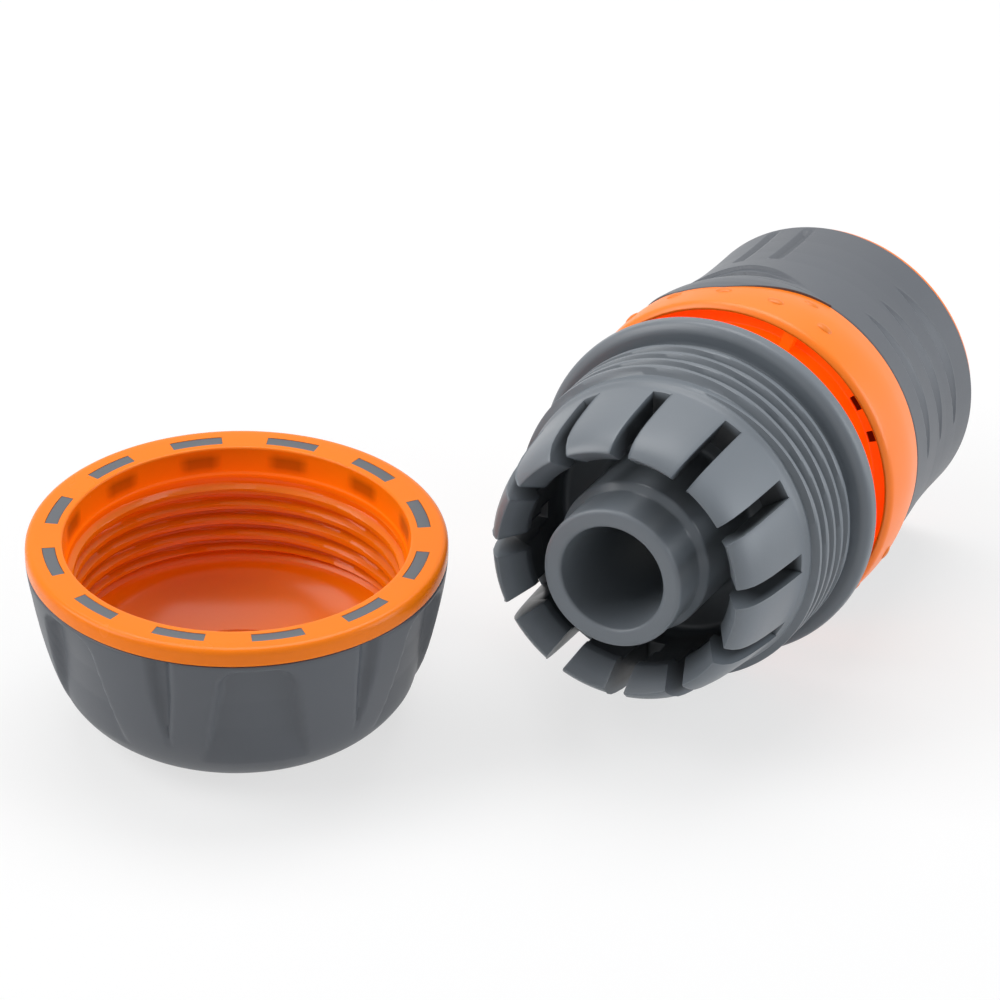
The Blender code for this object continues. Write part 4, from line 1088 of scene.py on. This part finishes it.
def build_spring():
    """Wire return spring with closed end coils."""
    low, high = SPRING_ENDS
    count = round(SPRING_TURNS * SPRING_STEPS)
    open_rise = (high - low - 2 * CLOSED_RISE) / (SPRING_TURNS - 2.0)
    bm = bmesh.new()
    ring = bmesh.ops.create_circle(bm, cap_ends=True, segments=12, radius=SPRING_WIRE)["verts"]
    bmesh.ops.rotate(bm, verts=ring, cent=(0, 0, 0), matrix=Matrix.Rotation(math.pi / 2, 3, "X"))
    bmesh.ops.translate(bm, verts=ring, vec=(SPRING_RADIUS, 0, low))
    end = next(face for face in bm.faces)
    for k in range(count):
        share = (k + 0.5) / count
        closed = min(share, 1.0 - share) * SPRING_TURNS < 1.0
        rise = (CLOSED_RISE if closed else open_rise) / SPRING_STEPS
        grown = bmesh.ops.extrude_face_region(bm, geom=[end], use_keep_orig=(k == 0))
        if k > 0 and end.is_valid:
            bmesh.ops.delete(bm, geom=[end], context="FACES_ONLY")
        ring = [part for part in grown["geom"] if isinstance(part, bmesh.types.BMVert)]
        end = next(part for part in grown["geom"] if isinstance(part, bmesh.types.BMFace))
        turned = Matrix.Rotation(math.tau / SPRING_STEPS, 3, "Z")
        bmesh.ops.rotate(bm, verts=ring, cent=(0, 0, 0), matrix=turned)
        bmesh.ops.translate(bm, verts=ring, vec=(0, 0, rise))
    place = body_place()
    spring = finish_piece("return_spring_wire", bm, place, finish("spring_steel"), "connector",
                          ["return_spring"])
    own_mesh(spring)


def dress_solids():
    """Gives the solids that stay as they are their finishes."""
    finishes = {"stem_seal": "seal_rubber"}
    for k in range(CLAW_COUNT):
        finishes[f"locking_claw_{k + 1}"] = "claw_plastic"
    for name, look in finishes.items():
        solid = frame["nodes"][name]
        solid.data.materials.clear()
        solid.data.materials.append(finish(look))


# Clamping nut

# The nut's core: its thread, by heights below the rim, and how it fades at its top and low end; the mouth and
# the step below it as (radius past the wall, height below the rim, rounding); the skin under the grip, the
# foot, and the bowl with the step above it as (radius, height). A fall says how late a curve turns inwards
THREAD_TOP_DROP = 2.9
THREAD_LOW_DROP = 10.9
INNER_THREAD_ANGLE = 40.0
INNER_THREAD_FADE = (0.8, 0.6)
MOUTH_RADIUS = 15.62
MOUTH_STEP = ((0.0, 2.7, 0.1), (0.15, 2.45, 0.15))
SKIN_TOP = 16.15
SKIN_LOW = 1.2
SKIN_FALL = 5.0
FOOT_RADIUS = 10.6
BOWL_STEP = (0.45, 0.4)
BOWL_FLOOR = 2.4
BOWL_FALL = 2.2

# The soft keys: angle of the first, half their angle, their radii, depth and slip
KEY_PHASE = 9.0
KEY_HALF = 8.0
KEY_NEAR = 16.3
KEY_FAR = 17.5
KEY_DEPTH = 1.6
KEY_SLIP = 0.02

# The grip: radius and height of its foot, rows from top to foot, powers of its lean and of the turn to the
# foot, its inside from top to low, and how far it lies below the orange band
NUT_BASE = 11.1
NUT_FOOT = 0.3
NUT_ROWS = 96
LEAN_POWER = 1.3
FOOT_POWER = 8
GRIP_TOP_INSIDE = 16.2
GRIP_INSIDE = 10.75
GRIP_LOW = 1.1
GRIP_SLIP = 0.04

# Arched panels and darts: angle of the first; then, by distance below their top, half their width, the width
# of their slopes and their share of the full depth
PANEL_PHASE = 2.0
PANEL_DROP = 0.45
PANEL_CORNER = 1.7
PANEL_HALF = ((0.0, 3.3), (1.4, 3.7), (4.5, 4.1), (8.0, 4.5), (11.5, 4.9))
PANEL_SLOPE = ((0.0, 0.6), (2.0, 0.9), (5.5, 0.8), (9.0, 0.6), (11.5, 0.4))
PANEL_SHARE = ((0.0, 1.0), (4.5, 1.0), (7.5, 0.75), (9.8, 0.35), (11.6, 0.0))
DART_PHASE = 35.0
DART_HALF = ((0.0, 1.35), (4.0, 1.15), (7.5, 0.6), (10.7, 0.05))
DART_SHARE = ((0.0, 1.0), (4.0, 0.95), (7.5, 0.55), (10.7, 0.0))


def bowl(top_radius, top, low_radius, low, fall, count):
    """Curve that leaves the wall upright and turns in towards the base."""
    found = []
    for k in range(count + 1):
        depth = math.sin(math.pi / 2 * k / count)
        found.append((top_radius - (top_radius - low_radius) * depth ** fall, top - (top - low) * depth))
    return found


def build_nut_core(n):
    top = n.height
    band = top - n.band
    thread_top, thread_low = top - THREAD_TOP_DROP, top - THREAD_LOW_DROP
    wall = n.thread_radius
    outline = rounded([
        (MOUTH_RADIUS, top, 0.25), (KEY_NEAR, top), (KEY_FAR, top), (n.radius, top, 0.75),
        (n.radius, band, 0.25), *bowl(SKIN_TOP, band, FOOT_RADIUS, SKIN_LOW, SKIN_FALL, 24),
        (FOOT_RADIUS, 0.0, 0.3), (n.hole_radius, 0.0, 0.3),
        *reversed(bowl(wall - BOWL_STEP[0], thread_low - BOWL_STEP[1], n.hole_radius, BOWL_FLOOR, BOWL_FALL,
                       26)),
        *[(wall, s) for s in [thread_low] + rows(thread_low, thread_top, THREAD_ROW)],
        *[(wall + past, top - drop, edge) for past, drop, edge in MOUTH_STEP]], 6)
    bm = bmesh.new()
    turn(bm, outline, CARVE_STEPS)
    pitch = bpy.context.scene.hose_body.thread_pitch

    def thread(angle, station, radius):
        turns = (angle - INNER_THREAD_ANGLE) % 360.0 / 360.0
        place = (station - thread_low) / pitch - turns
        ends = (ease((thread_top - station) / INNER_THREAD_FADE[0])
                * ease((station - thread_low) / INNER_THREAD_FADE[1]))
        return radius - n.thread_height * thread_ridge(place - round(place)) * ends

    def on_thread(radius, station):
        return thread_low - NEAR < station < thread_top + NEAR and abs(radius - wall) < NEAR

    def under_key(co):
        off = off_nearest(angle_of(co), n.key_count, KEY_PHASE)
        return co.z > top - LEVEL and KEY_NEAR < radius_of(co) < KEY_FAR and abs(off) < KEY_HALF

    carve(bm, on_thread, thread)
    pocket(bm, under_key, (0, 0, -KEY_DEPTH))
    finish_piece("nut_core_moulding", bm, nut_place(), finish("orange_glossy"), "connector", ["nut_core"])


def nut_profile(height, n):
    """Outer radius of the nut's grip: a steady lean, and a late turn to the foot."""
    top = n.height - n.band - GRIP_SLIP
    depth = min(max((top - height) / (top - NUT_FOOT), 0.0), 1.0)
    turned_in = n.radius - n.lean - NUT_BASE
    return n.radius - 0.02 - n.lean * depth ** LEAN_POWER - turned_in * depth ** FOOT_POWER


def panel_cut(angle, height, n):
    """Depth of the arched panels: a flat floor with sloping sides and a rounded top."""
    off = abs(off_nearest(angle, n.panel_count, PANEL_PHASE))
    across = nut_profile(height, n) * math.sin(math.radians(off))
    below = n.height - n.band - PANEL_DROP - height
    side = between(below, PANEL_HALF) - across
    if below <= 0.0 or side <= 0.0:
        return 0.0
    inside = min(side, below)
    if side < PANEL_CORNER and below < PANEL_CORNER:
        inside = PANEL_CORNER - math.hypot(PANEL_CORNER - side, PANEL_CORNER - below)
    depth = n.panel_depth * between(below, PANEL_SHARE)
    return depth * ease(max(inside, 0.0) / between(below, PANEL_SLOPE))


def dart_cut(angle, height, n):
    """Depth of the narrow darts that run out downwards."""
    off = abs(off_nearest(angle, n.panel_count, DART_PHASE))
    across = nut_profile(height, n) * math.sin(math.radians(off))
    below = n.height - n.band - height
    half = between(below, DART_HALF)
    return n.dart_depth * between(below, DART_SHARE) * ease((half - across) / (0.75 * half + 0.05))


def build_nut_grip(n):
    top = n.height - n.band - GRIP_SLIP
    heights = [top - 0.1 - (top - 0.5) * math.sin(math.pi / 2 * k / NUT_ROWS) for k in range(NUT_ROWS + 1)]
    outline = rounded([
        *[(nut_profile(h, n), h) for h in heights], (NUT_BASE, NUT_FOOT, 0.1), (GRIP_INSIDE, NUT_FOOT, 0.1),
        *reversed(bowl(GRIP_TOP_INSIDE, top, GRIP_INSIDE, GRIP_LOW, SKIN_FALL, 16)),
        (n.radius - 0.12, top)], 3)
    bm = bmesh.new()
    turn(bm, outline, CARVE_STEPS)

    def surface(angle, height, radius):
        return radius - max(panel_cut(angle, height, n), dart_cut(angle, height, n))

    def outside(radius, height):
        return height < top - 0.05 and radius > nut_profile(height, n) - 0.1

    carve(bm, outside, surface)
    near, far = KEY_NEAR + KEY_SLIP, KEY_FAR - KEY_SLIP
    key_top, key_low = n.height - KEY_SLIP, n.height - KEY_DEPTH + 0.05
    key = rounded([(near, key_top, 0.06), (far, key_top, 0.06), (far, key_low), (near, key_low)], 2)
    for k in range(n.key_count):
        middle = KEY_PHASE + 360.0 * k / n.key_count
        sweep(bm, key, middle - KEY_HALF + 0.05, middle + KEY_HALF - 0.05, 12)
    finish_piece("nut_grip_moulding", bm, nut_place(), finish("soft_grip"), "connector", ["nut_grip"],
                 sharp=60.0)


# Stage

# Camera: its film's width in millimetres, what it can see and its aim from the tail's mouth. Soft boxes:
# places as (right, front, up) of the view, and sizes. All but the film are in metres
FILM_WIDTH = 36.0
SEEN_FROM, SEEN_TO = 0.05, 20.0
AIM_FROM_TAIL = (-0.027798, 0.036114)
STAGE_MIDDLE = 0.015
KEY_PLACE = (-0.6, 0.05, 0.5)
FILL_PLACE = (0.7, 0.0, 0.2)
TOP_PLACE = (0.0, -0.3, 0.75)
SIDE_BOX = (0.5, 0.5)
TOP_BOX = (0.7, 0.5)
FILL_COLOUR = (0.9, 0.95, 1.0)

# Floor: half its width, how far it lies under the object, its grey and roughness, and its share of plain
# white where seen
FLOOR_HALF = 3.0
FLOOR_DROP = 0.00006
FLOOR_GREY = 0.86
FLOOR_ROUGHNESS = 0.9
FLOOR_WHITE = 0.68


def soft_box(name, power, width, place, aim):
    light = bpy.data.lights.new(name, "AREA")
    light.shape = "RECTANGLE"
    light.size, light.size_y = width
    light.energy = power
    lamp = bpy.data.objects.new(name, light)
    lamp.location = place
    lamp.rotation_euler = (aim - place).to_track_quat("-Z", "Y").to_euler()
    bpy.context.scene.collection.objects.link(lamp)
    return lamp


def seen_directly(tree):
    """1 for what the camera, a reflection or clear glass shows, 0 for light that falls on the object."""
    path = tree.nodes.new("ShaderNodeLightPath").outputs
    seen = math_node(tree, "MAXIMUM", path["Is Camera Ray"], path["Is Glossy Ray"])
    return math_node(tree, "MAXIMUM", seen, path["Is Transmission Ray"])


def white_surround(strength):
    """World that lights the object with a strength, and is white to the camera and in reflections."""
    world = bpy.data.worlds.new("surround")
    world.use_nodes = True
    tree = world.node_tree
    tree.nodes.clear()
    out = tree.nodes.new("ShaderNodeOutputWorld")
    lit = node(tree, "ShaderNodeBackground", Color=(1, 1, 1, 1), Strength=strength)
    shown = node(tree, "ShaderNodeBackground", Color=(1, 1, 1, 1), Strength=1.0)
    mix = tree.nodes.new("ShaderNodeMixShader")
    tree.links.new(seen_directly(tree), mix.inputs[0])
    tree.links.new(lit.outputs[0], mix.inputs[1])
    tree.links.new(shown.outputs[0], mix.inputs[2])
    tree.links.new(mix.outputs[0], out.inputs["Surface"])
    return world


def floor_finish():
    """Pale floor whose colour melts into the white surround and keeps a light shadow."""
    made = bpy.data.materials.new("pale_floor")
    made.use_nodes = True
    tree = made.node_tree
    shader = tree.nodes["Principled BSDF"]
    shader.inputs["Base Color"].default_value = (FLOOR_GREY, FLOOR_GREY, FLOOR_GREY, 1.0)
    shader.inputs["Roughness"].default_value = FLOOR_ROUGHNESS
    shader.inputs["Specular IOR Level"].default_value = 0.0
    white = node(tree, "ShaderNodeEmission", Color=(1, 1, 1, 1), Strength=1.0)
    mix = tree.nodes.new("ShaderNodeMixShader")
    tree.links.new(product(tree, seen_directly(tree), FLOOR_WHITE), mix.inputs[0])
    tree.links.new(shader.outputs[0], mix.inputs[1])
    tree.links.new(white.outputs[0], mix.inputs[2])
    tree.links.new(mix.outputs[0], tree.nodes["Material Output"].inputs["Surface"])
    return made


def build_floor():
    mesh = bpy.data.meshes.new("floor")
    bm = bmesh.new()
    bmesh.ops.create_grid(bm, x_segments=1, y_segments=1, size=FLOOR_HALF)
    bmesh.ops.translate(bm, verts=bm.verts, vec=(0, 0, -FLOOR_DROP))
    bm.to_mesh(mesh)
    bm.free()
    mesh.materials.append(floor_finish())
    floor = bpy.data.objects.new("floor", mesh)
    bpy.context.scene.collection.objects.link(floor)


def build_stage(s):
    scene = bpy.context.scene
    scene.view_settings.view_transform = "Standard"
    scene.world = white_surround(s.ambient)
    build_floor()
    azimuth, elevation = math.radians(s.azimuth), math.radians(s.elevation)
    right = Vector((math.cos(azimuth), math.sin(azimuth), 0.0))
    front = Vector((math.sin(azimuth), -math.cos(azimuth), 0.0))
    up = Vector((0.0, 0.0, 1.0))
    tail = body_place().translation
    aim = Vector((tail.x + AIM_FROM_TAIL[0], tail.y + AIM_FROM_TAIL[1], 0.0))
    back = front * math.cos(elevation) + up * math.sin(elevation)
    camera = bpy.data.objects.new("camera", bpy.data.cameras.new("camera"))
    camera.data.lens = s.lens
    camera.data.sensor_width = FILM_WIDTH
    camera.data.clip_start, camera.data.clip_end = SEEN_FROM, SEEN_TO
    camera.location = aim + back * s.distance
    turn_to = (-back).to_track_quat("-Z", "Y").to_matrix().to_4x4()
    camera.rotation_euler = (turn_to @ Matrix.Rotation(math.radians(s.roll), 4, "Z")).to_euler()
    scene.collection.objects.link(camera)
    scene.camera = camera
    middle = up * STAGE_MIDDLE

    def placed(spot):
        return middle + right * spot[0] + front * spot[1] + up * spot[2]

    soft_box("key_box", s.key, SIDE_BOX, placed(KEY_PLACE), middle)
    fill = soft_box("fill_box", s.fill, SIDE_BOX, placed(FILL_PLACE), middle)
    fill.data.color = FILL_COLOUR
    soft_box("top_box", s.top, TOP_BOX, placed(TOP_PLACE), middle)


# Operators

class HOSE_OT_connector_body(bpy.types.Operator):
    """Model the grey body with its tail, fingers, thread and flange"""
    bl_idname = "hose.connector_body"
    bl_label = "Connector Body"

    def execute(self, context):
        build_connector_body(context.scene.hose_body)
        return {"FINISHED"}


class HOSE_OT_release_collar(bpy.types.Operator):
    """Model the orange release sleeve with its bell, ribs, slots and pips"""
    bl_idname = "hose.release_collar"
    bl_label = "Release Collar"

    def execute(self, context):
        build_collar(context.scene.hose_sleeve)
        return {"FINISHED"}


class HOSE_OT_sleeve_grip(bpy.types.Operator):
    """Model the soft grip on the sleeve with its scoops, grooves and crescents"""
    bl_idname = "hose.sleeve_grip"
    bl_label = "Sleeve Grip"

    def execute(self, context):
        build_sleeve_grip(context.scene.hose_sleeve)
        return {"FINISHED"}


class HOSE_OT_socket(bpy.types.Operator):
    """Model the socket and the return spring, and dress the seal and the claws"""
    bl_idname = "hose.socket"
    bl_label = "Socket and Spring"

    def execute(self, context):
        build_socket()
        build_spring()
        dress_solids()
        return {"FINISHED"}


class HOSE_OT_nut_core(bpy.types.Operator):
    """Model the orange half of the clamping nut with its inner thread"""
    bl_idname = "hose.nut_core"
    bl_label = "Nut Core"

    def execute(self, context):
        build_nut_core(context.scene.hose_nut)
        return {"FINISHED"}


class HOSE_OT_nut_grip(bpy.types.Operator):
    """Model the soft grip of the nut with its panels, darts and keys"""
    bl_idname = "hose.nut_grip"
    bl_label = "Nut Grip"

    def execute(self, context):
        build_nut_grip(context.scene.hose_nut)
        return {"FINISHED"}


class HOSE_OT_stage(bpy.types.Operator):
    """Set the floor, the lights and the camera"""
    bl_idname = "hose.stage"
    bl_label = "Stage"

    def execute(self, context):
        build_stage(context.scene.hose_stage)
        return {"FINISHED"}


OPERATORS = (HOSE_OT_connector_body, HOSE_OT_release_collar, HOSE_OT_sleeve_grip, HOSE_OT_socket,
             HOSE_OT_nut_core, HOSE_OT_nut_grip, HOSE_OT_stage)


class HOSE_PT_panel(bpy.types.Panel):
    """Lists the pieces in the sidebar"""
    bl_idname = "HOSE_PT_panel"
    bl_label = "Hose Connector"
    bl_space_type = "VIEW_3D"
    bl_region_type = "UI"
    bl_category = "Hose Connector"

    def draw(self, context):
        for operator in OPERATORS:
            self.layout.operator(operator.bl_idname)
        for name in SETTINGS:
            box = self.layout.box()
            group = getattr(context.scene, name)
            for prop in group.bl_rna.properties:
                if prop.identifier not in {"rna_type", "name"}:
                    box.prop(group, prop.identifier)


SETTINGS = {"hose_body": BodySizes, "hose_sleeve": SleeveSizes, "hose_nut": NutSizes,
            "hose_finishes": Finishes, "hose_stage": StageSettings}


def register():
    for group in SETTINGS.values():
        bpy.utils.register_class(group)
    for name, group in SETTINGS.items():
        setattr(bpy.types.Scene, name, PointerProperty(type=group))
    for operator in OPERATORS:
        bpy.utils.register_class(operator)
    bpy.utils.register_class(HOSE_PT_panel)


def unregister():
    bpy.utils.unregister_class(HOSE_PT_panel)
    for operator in reversed(OPERATORS):
        bpy.utils.unregister_class(operator)
    for name in SETTINGS:
        delattr(bpy.types.Scene, name)
    for group in reversed(list(SETTINGS.values())):
        bpy.utils.unregister_class(group)


def main():
    register()
    bpy.ops.hose.connector_body()
    bpy.ops.hose.release_collar()
    bpy.ops.hose.sleeve_grip()
    bpy.ops.hose.socket()
    bpy.ops.hose.nut_core()
    bpy.ops.hose.nut_grip()
    bpy.ops.hose.stage()


if __name__ == "__main__":
    main()
